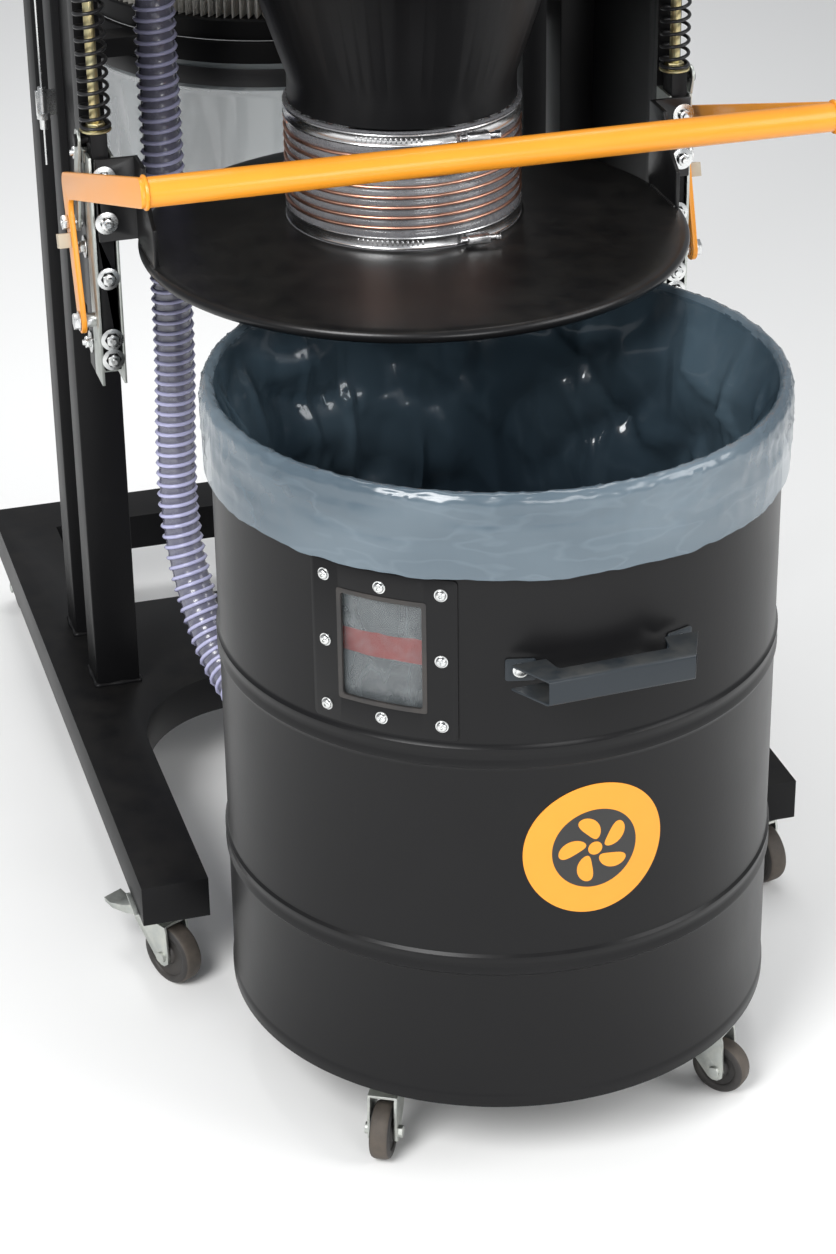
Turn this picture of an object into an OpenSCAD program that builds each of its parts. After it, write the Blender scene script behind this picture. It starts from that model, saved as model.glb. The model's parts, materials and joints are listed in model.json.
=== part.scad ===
// Two-stage cyclone dust collector on a wheeled base.
// A drum on casters rolls out from under a lid, and a lever works the lid.
// Millimetres, +Z up, +Y towards the filter, floor at Z = 0.

/* [Drum] */
// Outside radius of the drum wall
drum_r = 295; // [250:5:330]
// Height of the drum's bottom above the floor
drum_z = 95; // [80:1:120]
// Height of the drum from bottom to rim
drum_h = 708; // [500:1:900]
// Wall thickness of the drum
drum_t = 2; // [1:0.5:4]
// How far the drum is rolled out in front of the lid
drum_out = 320; // [0:10:600]
// Window opening width, measured on the wall
window_w = 90; // [60:5:140]
// Window opening height
window_h = 117; // [60:1:160]
// Emblem diameter
emblem_d = 150; // [80:5:200]

/* [Lid and lever] */
// Outside radius of the lid
lid_r = 304; // [260:1:340]
// Height of the lid's lower edge when raised
lid_z = 829; // [820:1:900]
// Depth of the lid's rim
lid_rim = 14; // [8:1:30]
// Travel of the lid
lid_travel = 22; // [5:1:24]
// Tilt of the lever in the raised position, degrees
lever_tilt = 18; // [0:1:30]
// Length of the lever's forward arms
lever_len = 465; // [300:5:600]
// Radius of the lever's round bar
bar_r = 15; // [10:1:20]
// Half distance between the guide channels
guide_x = 333; // [320:1:360]

/* [Cyclone] */
// Radius of the cyclone's dust outlet
outlet_r = 126; // [75:1:160]
// Radius of the cyclone barrel
barrel_r = 265; // [200:5:300]
// Distance from the lid's centre back to the cyclone's axis
cyc_y = 40; // [0:5:80]
// Height of the dust outlet's lower end
outlet_z = 985; // [950:5:1050]
// Radius of the air inlet collar
inlet_r = 100; // [75:1:125]

/* [Frame] */
// Height of the base frame's underside
base_z = 97; // [80:1:120]
// Height of the base frame's rails
base_h = 50; // [30:1:80]
// Width of the base frame's rails
rail_w = 78; // [50:1:120]
// Size of the square posts
post = 55; // [40:5:80]
// Height of the top frame's underside
top_z = 1200; // [1100:10:1300]

/* [Filter] */
// Radius of the filter canister
filt_r = 240; // [180:5:300]
// Distance from the lid's centre back to the filter's axis
filt_y = 640; // [560:5:760]
// Height of the canister's lower ring
filt_z = 880; // [700:5:1000]

/* [Hidden] */
$fn = 96;
sx = -8.87;
sy = -113.55;
e = 0.01;

drum_x0 = -6;
drum_top = drum_z + drum_h;
win_a = -129.8;
win_z = drum_z + 529;
han_a = -86.6;
han_z = drum_z + 521;
emb_a = -88;
emb_z = drum_z + 308;

left_in = -300;
right_in = 343;
base_front = -158;
base_back = 880;
base_top = base_z + base_h;
nest_y = 312;
nest_r = 145;
cross_d = 228;

piv_y = 84;
piv_z = 745;
arm_r = 110;
arm_x0 = 358;
arm_x1 = 364;
up_y = piv_y + arm_r * sin(lever_tilt);
up_z = piv_z + arm_r * cos(lever_tilt);
sl_z = piv_z + 2 * arm_r * cos(lever_tilt);

cone_z0 = outlet_z + 27;
cone_z1 = 1430;
barrel_z1 = 1760;
blow_z0 = 1764;
blow_z1 = 1904;
motor_z1 = 2190;
filt_z1 = 1700;
head_z1 = 1880;

hose_r = 25;
hose_route = [[-225, 270, 1149.5], [-225, 270, 1080], [-225, 270, 960], [-224, 270, 840],
  [-222, 270, 720], [-223, 269, 600], [-228, 264, 500], [-230, 256, 415], [-225, 238, 345],
  [-215, 203, 281], [-202, 160, 238], [-186, 111, 216], [-175.5, 62, 210], [-167.86, 27.12, 210],
  [-151.21, -8.59, 210]];
port_a = 115;
port_z = 210;

// caster stems: x, y, trail direction
base_cs = [[-352, -108, -60], [385, -108, -75], [-340, 825, 95], [382, 825, 80]];
drum_cs = [[-177, -177, -118], [177, -177, -48], [-177, 177, 140], [177, 177, 35]];

module box(a, b) {
  translate(a) cube([b[0] - a[0], b[1] - a[1], b[2] - a[2]]);
}

module ring(r0, r1, h) {
  difference() {
    cylinder(r = r1, h = h);
    translate([0, 0, -1]) cylinder(r = r0, h = h + 2);
  }
}

module torus(rm, rt) {
  rotate_extrude() translate([rm, 0]) circle(r = rt, $fn = 32);
}

module pin_x(x0, x1, y, z, r) {
  translate([x0, y, z]) rotate([0, 90, 0]) cylinder(r = r, h = x1 - x0);
}

module hex_x(x0, x1, y, z, af) {
  translate([x0, y, z]) rotate([0, 90, 0]) cylinder(r = af / sqrt(3), h = x1 - x0, $fn = 6);
}

module hex_y(x, y0, y1, z, af) {
  translate([x, y1, z]) rotate([90, 0, 0]) cylinder(r = af / sqrt(3), h = y1 - y0, $fn = 6);
}

module pin_y(x, y0, y1, z, r) {
  translate([x, y1, z]) rotate([90, 0, 0]) cylinder(r = r, h = y1 - y0);
}

// square tube standing on its end
module tube_z(x0, y0, w, d, z0, z1, t) {
  difference() {
    box([x0, y0, z0], [x0 + w, y0 + d, z1]);
    box([x0 + t, y0 + t, z0 - 1], [x0 + w - t, y0 + d - t, z1 + 1]);
  }
}

module both_sides() {
  children();
  mirror([1, 0, 0]) children();
}

// position on the drum: angle about its axis, then out along +X
module on_drum(a, z) {
  translate([0, 0, z]) rotate([0, 0, a]) children();
}

module at_drum() {
  translate([drum_x0, -drum_out, 0]) children();
}

/* ---- frame ---- */

module base_plan(t) {
  union() {
    translate([left_in - rail_w + t, base_front + t]) square([rail_w - 2 * t, base_back - base_front - 2 * t]);
    translate([right_in + t, base_front + t]) square([rail_w - 2 * t, base_back - base_front - 2 * t]);
    translate([left_in - rail_w + t, nest_y + t]) square([right_in - left_in + 2 * rail_w - 2 * t, cross_d - 2 * t]);
    translate([left_in - rail_w + t, base_back - 80 + t]) square([right_in - left_in + 2 * rail_w - 2 * t, 80 - 2 * t]);
    corner_plan(t, left_in, 1);
    corner_plan(t, right_in, -1);
  }
}

// rounded inner corner between a rail and the cross member
module corner_plan(t, x, s) {
  difference() {
    translate([x - (s > 0 ? rail_w / 2 : nest_r - t), nest_y - nest_r + t])
      square([nest_r + rail_w / 2 - t, nest_r + 20 - t]);
    translate([x + s * nest_r, nest_y - nest_r]) circle(r = nest_r + t);
    translate([x + (s > 0 ? nest_r - 2 : -nest_r - 60 + 2), nest_y - nest_r - 50]) square([60, nest_r + 50 + t]);
  }
}

module base_frame() {
  color([0.07, 0.07, 0.075]) {
    difference() {
      translate([0, 0, base_z]) linear_extrude(base_h) base_plan(0);
      translate([0, 0, base_z - 1]) linear_extrude(base_h - 2) base_plan(3);
    }
    for (c = base_cs) let (x0 = (c[0] < 0 ? left_in - rail_w : right_in) + 2)
      box([x0, c[1] - 36, base_z], [x0 + rail_w - 4, c[1] + 36, base_z + 3]);
  }
}

module posts() {
  color([0.07, 0.07, 0.075])
  both_sides()
  for (y = [325, 470]) {
    tube_z(279, y, post, post, base_top, top_z, 3);
  }
}

module top_frame() {
  color([0.07, 0.07, 0.075]) {
    both_sides() {
      difference() {
        box([313, -200, top_z], [353, 525, top_z + 40]);
        box([316, -197, top_z + 3], [350, 522, top_z + 37]);
      }
      tube_z(guide_x - 14, 100, 28, 30, 674, top_z, 2.5);
      difference() {
        box([guide_x - 18, 62, 1120], [guide_x + 14, 100, 1126]);
        translate([guide_x, 82, 1119]) cylinder(r = 7, h = 8);
      }
      box([guide_x - 12, 129, 690], [guide_x - 8, 325, top_z + 1]);
      box([279, 325, top_z], [314, 380, top_z + 40]);
      box([279, 470, top_z], [314, 525, top_z + 40]);
    }
    box([-314, -200, top_z], [314, -168, top_z + 40]);
    box([-279, 325, top_z], [279, 380, top_z + 40]);
    difference() {
      box([-353, -200, top_z + 40], [353, 240, top_z + 46]);
      translate([0, cyc_y, top_z + 39]) cylinder(r = 208, h = 8);
      for (i = [0:7]) translate([0, cyc_y, top_z + 39]) rotate([0, 0, i * 45 + 22.5]) translate([228, 0, 0]) cylinder(r = 5, h = 8);
    }
  }
}

module guide_channels() {
  color([0.62, 0.64, 0.65])
  both_sides()
  difference() {
    box([guide_x - 14, 60, 674], [guide_x + 14, 100, 940.5]);
    box([guide_x - 11, 59, 673], [guide_x + 11, 97, 963]);
    box([guide_x + 10, piv_y - 4.6, sl_z - lid_travel - 6], [guide_x + 15, piv_y + 4.6, 963]);
    pin_x(guide_x + 10, guide_x + 15, piv_y, piv_z, 5);
    pin_y(guide_x, 96, 101, 706, 4);
    pin_y(guide_x, 96, 101, 918, 4);
  }
}

module guide_bolts() {
  color([0.70, 0.71, 0.72])
  both_sides() {
    pin_x(guide_x + 10, 368, piv_y, piv_z, 5);
    hex_x(guide_x + 9.4, guide_x + 10.9, piv_y, piv_z, 17);
    hex_x(364.4, 371, piv_y, piv_z, 17);
    pin_x(363.9 + 0.5, 365.6, piv_y, piv_z, 11);
    pin_x(guide_x + 14, guide_x + 24.4, piv_y, piv_z, 8);
  }
}

module cable_adjuster() {
  color([0.55, 0.56, 0.57]) {
    box([-356, 338, 900], [-334, 342, 930]);
    box([-356, 338, 1060], [-334, 342, 1090]);
    translate([-348, 340, 840]) cylinder(r = 1.6, h = 330);
    translate([-348, 340, 884]) cylinder(r = 5, h = 50);
    translate([-348, 340, 896]) cylinder(r = 8, h = 8, $fn = 6);
    translate([-348, 340, 1050]) cylinder(r = 5, h = 44);
  }
}

/* ---- casters: stem on the local Z axis, trail along local +X ---- */

module caster_plate(h, s) {
  difference() {
    translate([-s / 2, -s / 2 + 6, h - 3]) cube([s, s - 12, 3]);
    for (x = [-1, 1]) for (y = [-1, 1]) translate([x * (s / 2 - 9), y * (s / 2 - 15), h - 4]) cylinder(r = 3.2, h = 5);
  }
  translate([0, 0, h - 9]) cylinder(r = 13, h = 7);
  translate([0, 0, h - 23.4]) cylinder(r = 5, h = 16);
  translate([0, 0, h - 23.4]) cylinder(r = 8.5, h = 3);
}

module fork(h, wr, ww, tr, pedal) {
  y0 = ww / 2 + 2;
  color([0.62, 0.65, 0.64])
  difference() {
    union() {
      translate([0, 0, h - 17]) cylinder(r = 24, h = 7.6);
      translate([-20, -y0 - 3, h - 20]) cube([tr + 26, 2 * y0 + 6, 3]);
      for (s = [0, 1]) mirror([0, s, 0]) translate([0, y0 + 3, 0]) rotate([90, 0, 0]) linear_extrude(3)
        polygon([[-20, h - 17], [-20, h - 26], [tr - 8, wr - 9], [tr - 3, wr - 12], [tr + 3, wr - 12],
          [tr + 9, wr - 7], [tr + 10, wr + 4], [tr + 8, h - 24], [tr + 6, h - 17]]);
      translate([tr, y0 + 6, wr]) rotate([90, 0, 0]) cylinder(r = 4, h = 2 * y0 + 12);
      translate([tr, y0 + 8, wr]) rotate([90, 0, 0]) cylinder(r = 7, h = 5, $fn = 6);
      translate([tr, -y0 - 3, wr]) rotate([90, 0, 0]) cylinder(r = 6.5, h = 4);
      if (pedal) translate([0, 13, 0]) rotate([90, 0, 0]) linear_extrude(26)
        polygon([[-14, h - 17], [-14, h - 22], [-40, h - 30], [-66, h - 34], [-78, h - 30], [-80, h - 25],
          [-70, h - 28], [-48, h - 22], [-30, h - 14]]);
    }
    translate([0, 0, h - 21]) cylinder(r = 5.06, h = 13);
    translate([0, 0, h - 30]) cylinder(r = 9.2, h = 12.6);
    translate([0, 0, h - 13]) cylinder(r = 13.5, h = 5);
  }
}

module wheel(wr, ww, tr) {
  color([0.10, 0.10, 0.11])
  translate([tr, 0, wr]) rotate([90, 0, 0]) rotate_extrude()
    polygon([[4.06, -ww / 2 - 1], [9, -ww / 2 - 1], [10, -ww / 2 + 3], [wr - 12, -ww / 2 + 3], [wr - 8, -ww / 2],
      [wr - 2, -ww / 2 + 1], [wr, -ww / 2 + 4], [wr, ww / 2 - 4], [wr - 2, ww / 2 - 1], [wr - 8, ww / 2],
      [wr - 12, ww / 2 - 3], [10, ww / 2 - 3], [9, ww / 2 + 1], [4.06, ww / 2 + 1]]);
}

module at_caster(c) {
  translate([c[0], c[1], 0]) rotate([0, 0, c[2]]) children();
}

module base_caster_plates() {
  color([0.60, 0.62, 0.62])
  for (c = base_cs) translate([c[0], c[1], 0]) caster_plate(base_z, 62);
}

module drum_caster_plates() {
  color([0.60, 0.62, 0.62])
  at_drum() for (c = drum_cs) translate([c[0], c[1], 0]) rotate([0, 0, 45]) caster_plate(drum_z, 56);
}

module base_fork(i) {
  at_caster(base_cs[i]) fork(base_z, 37.5, 25, 24, i < 2);
}

module base_wheel(i) {
  at_caster(base_cs[i]) wheel(37.5, 25, 24);
}

module drum_fork(i) {
  at_drum() at_caster(drum_cs[i]) fork(drum_z, 31.5, 22, 28, false);
}

module drum_wheel(i) {
  at_drum() at_caster(drum_cs[i]) wheel(31.5, 22, 28);
}

/* ---- cyclone, blower and motor ---- */

module cyclone() {
  color([0.08, 0.08, 0.085])
  translate([0, cyc_y, 0])
  difference() {
    union() {
      translate([0, 0, outlet_z]) cylinder(r = outlet_r, h = 28);
      translate([0, 0, cone_z0]) cylinder(r1 = outlet_r, r2 = barrel_r, h = cone_z1 - cone_z0);
      translate([0, 0, cone_z1]) cylinder(r = barrel_r, h = barrel_z1 - cone_z1);
      translate([0, 0, barrel_z1 - 6]) cylinder(r = barrel_r + 14, h = 6);
      translate([0, 0, top_z + 46]) cylinder(r = 245, h = 6);
      box([-barrel_r, -250, 1490], [-barrel_r + 200, 0, 1710]);
      translate([-barrel_r + 100, -250, 1600]) rotate([90, 0, 0]) cylinder(r = inlet_r + 6, h = 22);
      translate([-barrel_r + 100, -272, 1600]) rotate([90, 0, 0]) cylinder(r = inlet_r, h = 80);
    }
    translate([0, 0, outlet_z - 1]) cylinder(r = outlet_r - 2, h = 28.1);
    translate([0, 0, cone_z0 - 0.01]) cylinder(r1 = outlet_r - 2, r2 = barrel_r - 2, h = cone_z1 - cone_z0);
    translate([0, 0, cone_z1 - 0.02]) cylinder(r = barrel_r - 2, h = barrel_z1 - cone_z1 - 3);
    box([-barrel_r + 2, -248, 1492], [-barrel_r + 198, 10, 1708]);
    translate([-barrel_r + 100, -240, 1600]) rotate([90, 0, 0]) cylinder(r = inlet_r - 2, h = 113);
    translate([0, 0, barrel_z1 - 8]) cylinder(r = 110, h = 12);
    for (i = [0:7]) rotate([0, 0, i * 45 + 22.5]) translate([228, 0, top_z + 45]) cylinder(r = 5, h = 8);
  }
  color([0.08, 0.08, 0.085])
  translate([0, cyc_y, 1590]) ring(110, 112.5, barrel_z1 - 1590);
}

module blower_housing() {
  color([0.09, 0.09, 0.095])
  translate([0, cyc_y, 0])
  difference() {
    union() {
      translate([0, 0, blow_z0 - 4]) cylinder(r = 285, h = 144);
      box([105, 0, blow_z0 - 4], [285, 300, blow_z0 + 140]);
    }
    translate([0, 0, blow_z0]) cylinder(r = 282, h = 136);
    box([108, 0, blow_z0], [282, 301, blow_z0 + 136]);
    translate([0, 0, blow_z0 - 5]) cylinder(r = 110, h = 6);
    translate([0, 0, blow_z0 + 130]) cylinder(r = 14.06, h = 12);
  }
}

module motor_housing() {
  color([0.10, 0.10, 0.11])
  translate([0, cyc_y, 0]) {
    difference() {
      union() {
        translate([0, 0, blow_z1]) cylinder(r = 130, h = 12);
        translate([0, 0, blow_z1 + 12]) cylinder(r = 104, h = 220);
        translate([0, 0, blow_z1 + 232]) cylinder(r = 112, h = motor_z1 - blow_z1 - 232);
        for (i = [0:23]) rotate([0, 0, i * 15]) translate([100, -1.5, blow_z1 + 24]) cube([14, 3, 196]);
      }
      translate([0, 0, blow_z1 + 16]) cylinder(r = 92, h = 208);
      translate([0, 0, blow_z1 + 240]) cylinder(r = 108, h = motor_z1 - blow_z1 - 244);
      translate([0, 0, blow_z1 - 1]) cylinder(r = 14.06, h = 250);
      for (i = [0:11]) rotate([0, 0, i * 30]) translate([50, -5, motor_z1 - 8]) cube([46, 10, 12]);
    }
    difference() {
      box([95, -55, blow_z1 + 60], [176, 55, blow_z1 + 170]);
      translate([0, 0, blow_z1 + 50]) cylinder(r = 103, h = 130);
    }
    translate([145, 0, blow_z1 + 40]) cylinder(r = 11, h = 20.5, $fn = 6);
  }
}

module impeller() {
  color([0.45, 0.46, 0.48])
  translate([0, cyc_y, 0]) {
    difference() {
      union() {
        translate([0, 0, blow_z0 + 96]) cylinder(r = 215, h = 4);
        translate([0, 0, blow_z0 + 20]) cylinder(r = 28, h = 78);
        for (i = [0:9]) rotate([0, 0, i * 36]) translate([60, -2, blow_z0 + 22]) rotate([0, 0, 24]) cube([145, 4, 76]);
      }
      translate([0, 0, blow_z0 + 10]) cylinder(r = 8, h = 30);
    }
    translate([0, 0, blow_z0 + 30]) cylinder(r = 14, h = blow_z1 + 260 - blow_z0 - 30);
    translate([0, 0, blow_z1 + 16 + 14]) cylinder(r = 62, h = 170);
    translate([0, 0, blow_z1 + 244]) cylinder(r = 30, h = 26);
    for (i = [0:6]) rotate([0, 0, i * 360 / 7]) translate([28, -1.5, blow_z1 + 246]) cube([62, 3, 22]);
  }
}

module transfer_duct() {
  color([0.09, 0.09, 0.095])
  difference() {
    union() {
      box([103, cyc_y + 290, blow_z0 - 8], [287, cyc_y + 310, blow_z1 + 4 - 4]);
      box([105, cyc_y + 300, blow_z0 - 4], [245, 520, blow_z0 + 116]);
      box([105, cyc_y + 300, blow_z0 - 4], [285, cyc_y + 330, blow_z0 + 136]);
    }
    box([108, cyc_y + 280, blow_z0], [282, cyc_y + 327, blow_z0 + 132]);
    box([108, cyc_y + 300, blow_z0], [242, 530, blow_z0 + 112]);
    box([104.9, cyc_y + 280, blow_z0 - 4.1], [285.1, cyc_y + 300, blow_z0 + 140.1]);
    translate([0, filt_y, blow_z0 - 20]) cylinder(r = filt_r + 4, h = 180);
  }
}

module filter_head() {
  color([0.09, 0.09, 0.095])
  translate([0, filt_y, 0])
  difference() {
    union() {
      translate([0, 0, filt_z1]) cylinder(r = filt_r + 4, h = head_z1 - filt_z1 + 12);
      translate([0, 0, filt_z1 - 8]) cylinder(r = filt_r + 12, h = 16);
    }
    translate([0, 0, filt_z1 - 9]) cylinder(r = filt_r + 1, h = head_z1 - filt_z1 + 17);
    translate([0, 0, head_z1]) cylinder(r = 8.06, h = 20);
    box([111, -300, blow_z0 + 3], [239, 0, blow_z0 + 109]);
  }
}

module filter_canister() {
  color([0.80, 0.81, 0.80])
  translate([0, filt_y, 0])
  difference() {
    union() {
      translate([0, 0, filt_z + 64]) cylinder(r = filt_r - 4, h = filt_z1 - filt_z - 72);
      translate([0, 0, filt_z + 60]) cylinder(r = filt_r, h = 26);
      translate([0, 0, filt_z1 - 30]) cylinder(r = filt_r, h = 28);
    }
    translate([0, 0, filt_z + 50]) cylinder(r = filt_r - 34, h = 900);
  }
}

module filter_bracket() {
  color([0.08, 0.08, 0.085])
  difference() {
    union() {
      translate([0, filt_y, filt_z]) cylinder(r = filt_r + 6, h = 60);
      both_sides() box([150, 480, filt_z + 36], [279, 520, filt_z + 60]);
    }
    translate([0, filt_y, filt_z - 1]) cylinder(r = filt_r - 2, h = 62);
  }
}

module collection_bag() {
  color([0.62, 0.66, 0.70, 0.5])
  translate([0, filt_y, 0])
  difference() {
    union() {
      translate([0, 0, 655]) cylinder(r = filt_r - 40, h = 20);
      translate([0, 0, 675]) cylinder(r1 = filt_r - 40, r2 = filt_r - 2, h = 60);
      translate([0, 0, 735]) cylinder(r = filt_r - 2, h = filt_z - 735);
      translate([0, 0, filt_z]) cylinder(r = filt_r + 8, h = 34);
    }
    translate([0, 0, 658]) cylinder(r = filt_r - 43, h = 18);
    translate([0, 0, 675.9]) cylinder(r1 = filt_r - 43, r2 = filt_r - 5, h = 59.2);
    translate([0, 0, 735]) cylinder(r = filt_r - 5, h = filt_z - 735 + 1);
    translate([0, 0, filt_z - e]) cylinder(r = filt_r + 6.05, h = 36);
  }
}

module bag_clamp() {
  color([0.10, 0.12, 0.18])
  translate([0, filt_y, filt_z + 6]) {
    ring(filt_r + 8, filt_r + 10, 22);
    box([-16, -filt_r - 22, 2], [16, -filt_r - 8.2, 20]);
  }
}

module cleaning_crank() {
  color([0.12, 0.12, 0.13])
  translate([0, filt_y, 0]) {
    translate([0, 0, filt_z + 90]) cylinder(r = 8, h = head_z1 + 40 - filt_z - 90);
    translate([0, 0, head_z1 + 12.6]) cylinder(r = 16, h = 14);
    translate([-12, -150, head_z1 + 40]) cube([24, 166, 8]);
    translate([0, 0, head_z1 + 26]) cylinder(r = 12, h = 18);
    translate([0, -138, head_z1 + 48]) cylinder(r = 13, h = 70);
    for (a = [0, 180]) rotate([0, 0, a]) translate([0, -2, filt_z + 120]) cube([filt_r - 44, 4, 640]);
  }
}

module control_box() {
  color([0.75, 0.76, 0.76]) {
    difference() {
      box([296, -300, 1262], [396, -201, 1422]);
      box([299, -297, 1265], [393, -204, 1419]);
      pin_y(346, -301, -296, 1372, 13.3);
      pin_y(346, -301, -296, 1312, 16.3);
      translate([346, -250, 1260]) cylinder(r = 10.5, h = 8);
    }
    box([306, -214, 1240], [346, -200, 1262]);
  }
}

module start_button() {
  color([0.10, 0.50, 0.20]) {
    pin_y(346, -306, -285, 1372, 13);
    pin_y(346, -289, -286, 1372, 15);
  }
}

module stop_button() {
  color([0.75, 0.08, 0.06]) {
    pin_y(346, -305, -285, 1312, 16);
    pin_y(346, -315.5, -304.6, 1312, 20);
    pin_y(346, -289, -286, 1312, 18);
  }
}

module vacuum_pipe() {
  color([0.10, 0.10, 0.11]) {
    translate([-225, 270, 0]) difference() {
      union() {
        translate([0, 0, 1150]) cylinder(r = 22.4, h = 520);
        translate([0, 0, 1660]) cylinder(r = 27, h = 56);
        translate([0, 0, 1686]) rotate([0, 0, -45.6]) rotate([0, 90, 0]) cylinder(r = 22.4, h = 60);
      }
      translate([0, 0, 1149]) cylinder(r = 20, h = 562);
      translate([0, 0, 1686]) rotate([0, 0, -45.6]) rotate([0, 90, 0]) cylinder(r = 17, h = 61);
    }
    difference() {
      box([-290, 262, 1300], [-225, 278, 1330]);
      translate([-225, 270, 1299]) cylinder(r = 22, h = 32);
    }
    box([-290, 262, 1300], [-282, 325, 1330]);
  }
}

/* ---- lid, its coupling and springs ---- */

module lid() {
  color([0.07, 0.07, 0.075])
  difference() {
    union() {
      translate([0, 0, lid_z + lid_rim / 2]) cylinder(r = lid_r, h = lid_rim / 2 - 4);
      translate([0, 0, lid_z + lid_rim / 2]) torus(lid_r - 7, 7);
      translate([0, 0, lid_z + lid_rim / 2]) cylinder(r = lid_r - 4, h = lid_rim / 2 - 1);
      translate([0, 0, lid_z + lid_rim - 1]) cylinder(r1 = lid_r - 6, r2 = 150, h = 7);
      translate([0, cyc_y, lid_z + lid_rim - 2]) cylinder(r = outlet_r, h = 66);
    }
    translate([0, 0, lid_z - 1]) cylinder(r = lid_r - 14, h = lid_rim - 1);
    translate([0, cyc_y, lid_z]) cylinder(r = outlet_r - 2, h = 90);
  }
}

module lid_gasket() {
  color([0.05, 0.05, 0.05])
  translate([0, 0, lid_z + 1]) ring(lid_r - 28, lid_r - 14.2, lid_rim - 3.5);
}

module lid_brackets() {
  color([0.08, 0.08, 0.085])
  both_sides() {
    difference() {
      box([294, -34, lid_z + 14.05], [299, 52, lid_z + 112]);
      translate([290, -70, lid_z + 130]) rotate([0, 90, 0]) cylinder(r = 82, h = 20);
    }
    box([294, 50, lid_z + 18], [guide_x + 9, 55, lid_z + 112]);
    hex_y(guide_x, 43.5, 50, lid_z + 40, 13);
    hex_y(guide_x, 43.5, 50, lid_z + 92, 13);
  }
}

module carriage_bars() {
  color([0.09, 0.09, 0.10])
  both_sides() {
    box([guide_x - 9, 64, 690], [guide_x + 9, 93, sl_z + 10]);
    box([guide_x - 9, 55, lid_z + 22], [guide_x + 9, 64, lid_z + 108]);
    pin_x(guide_x + 9, 356.6, piv_y, sl_z, 4);
    pin_x(355.2, 357.2, piv_y, sl_z, 7);
    hex_y(guide_x, 57, 64, 800, 15);
    hex_y(guide_x, 57, 64, 728, 15);
    hex_y(guide_x, 57, 64, 704, 15);
  }
}

module spring_rods() {
  color([0.72, 0.62, 0.34])
  both_sides() {
    translate([guide_x, 82, sl_z + 10]) cylinder(r = 17.5, h = 3);
    translate([guide_x, 82, sl_z + 12]) cylinder(r = 6, h = 210);
  }
}

module lid_springs() {
  color([0.10, 0.10, 0.10])
  both_sides()
  translate([guide_x, 82, 0]) for (i = [0:10]) translate([0, 0, sl_z + 15.6 + i * 14.2]) torus(15.5, 2.1);
}

module coupling_hose() {
  color([0.45, 0.45, 0.46, 0.6])
  translate([0, cyc_y, 0])
  difference() {
    union() {
      translate([0, 0, lid_z + 20]) cylinder(r = outlet_r + 3, h = 134);
      for (i = [0:6]) translate([0, 0, lid_z + 42 + i * 15]) torus(outlet_r + 4, 4);
    }
    translate([0, 0, lid_z + 19]) cylinder(r = outlet_r + 0.5, h = 136);
  }
}

module band(z) {
  translate([0, cyc_y, z]) ring(outlet_r + 3.3, outlet_r + 4.8, 13);
  translate([30, cyc_y - outlet_r - 16, z + 1]) cube([34, 11, 11]);
}

module lid_band() {
  color([0.75, 0.76, 0.77]) band(lid_z + 23);
}

module outlet_band() {
  color([0.75, 0.76, 0.77]) band(lid_z + 138);
}

/* ---- lever and links ---- */

module lever_arm() {
  rotate([90, 0, 90]) linear_extrude(arm_x1 - arm_x0)
  difference() {
    union() {
      translate([-14, 0]) square([28, 150]);
      circle(r = 14);
      translate([-lever_len - 15, 135]) square([lever_len + 15, 30]);
      translate([-6, 145]) circle(r = 20);
    }
    circle(r = 5.06);
    translate([0, arm_r]) circle(r = 4);
  }
}

module lever() {
  color([0.90, 0.56, 0.12])
  translate([0, piv_y, piv_z]) rotate([-lever_tilt, 0, 0]) {
    translate([arm_x0, 0, 0]) lever_arm();
    translate([-arm_x1, 0, 0]) lever_arm();
    pin_x(-arm_x0, arm_x0, -lever_len, 150, bar_r);
  }
}

module lever_bolts() {
  color([0.70, 0.71, 0.72])
  both_sides() {
    pin_x(348.4, 372, up_y, up_z, 4);
    pin_x(348.4, 350.6, up_y, up_z, 7);
    hex_x(364, 371, up_y, up_z, 15);
    translate([364, piv_y, piv_z]) rotate([-lever_tilt, 0, 0]) translate([0, -8, 82]) cube([14, 16, 16]);
  }
}

module lift_links() {
  color([0.66, 0.68, 0.69])
  both_sides()
  translate([351.6, up_y, up_z]) rotate([lever_tilt, 0, 0]) rotate([90, 0, 90]) linear_extrude(3)
  difference() {
    union() {
      translate([-11, 0]) square([22, arm_r + 2]);
      circle(r = 11);
      translate([0, arm_r + 2]) circle(r = 11);
    }
    circle(r = 4.06);
    translate([-4.6, arm_r - 3]) square([9.2, 6]);
    translate([0, arm_r - 3]) circle(r = 4.6);
    translate([0, arm_r + 3]) circle(r = 4.6);
  }
}

/* ---- drum ---- */

module drum_band(z0, z1, d) {
  translate([0, 0, drum_z]) rotate_extrude()
    polygon([[drum_r - drum_t, z0], [drum_r, z0], [drum_r + d, z0 + 3], [drum_r + d, z1 - 3],
      [drum_r, z1], [drum_r - drum_t, z1]]);
}

module drum() {
  color([0.09, 0.09, 0.095])
  at_drum()
  difference() {
    union() {
      translate([0, 0, drum_z]) ring(drum_r - drum_t, drum_r, drum_h - 5);
      translate([0, 0, drum_z]) ring(drum_r - 3, drum_r + 1.5, 13.8);
      translate([0, 0, drum_z]) cylinder(r = drum_r - 1, h = 4);
      drum_band(165, 191, 3);
      drum_band(408.6, 435.3, 2.5);
      translate([0, 0, drum_top - 5]) torus(drum_r, 4.5);
    }
    on_drum(win_a, win_z) box([drum_r - 20, -window_w / 2, -window_h / 2], [drum_r + 20, window_w / 2, window_h / 2]);
    on_drum(port_a, port_z) rotate([0, 90, 0]) cylinder(r = 22.1, h = 400);
  }
}

module shell_patch(r0, r1, a, z, w, h) {
  on_drum(a, z) intersection() {
    translate([0, 0, -h]) ring(r0, r1, 2 * h);
    box([0, -w / 2, -h / 2], [400, w / 2, h / 2]);
  }
}

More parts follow.
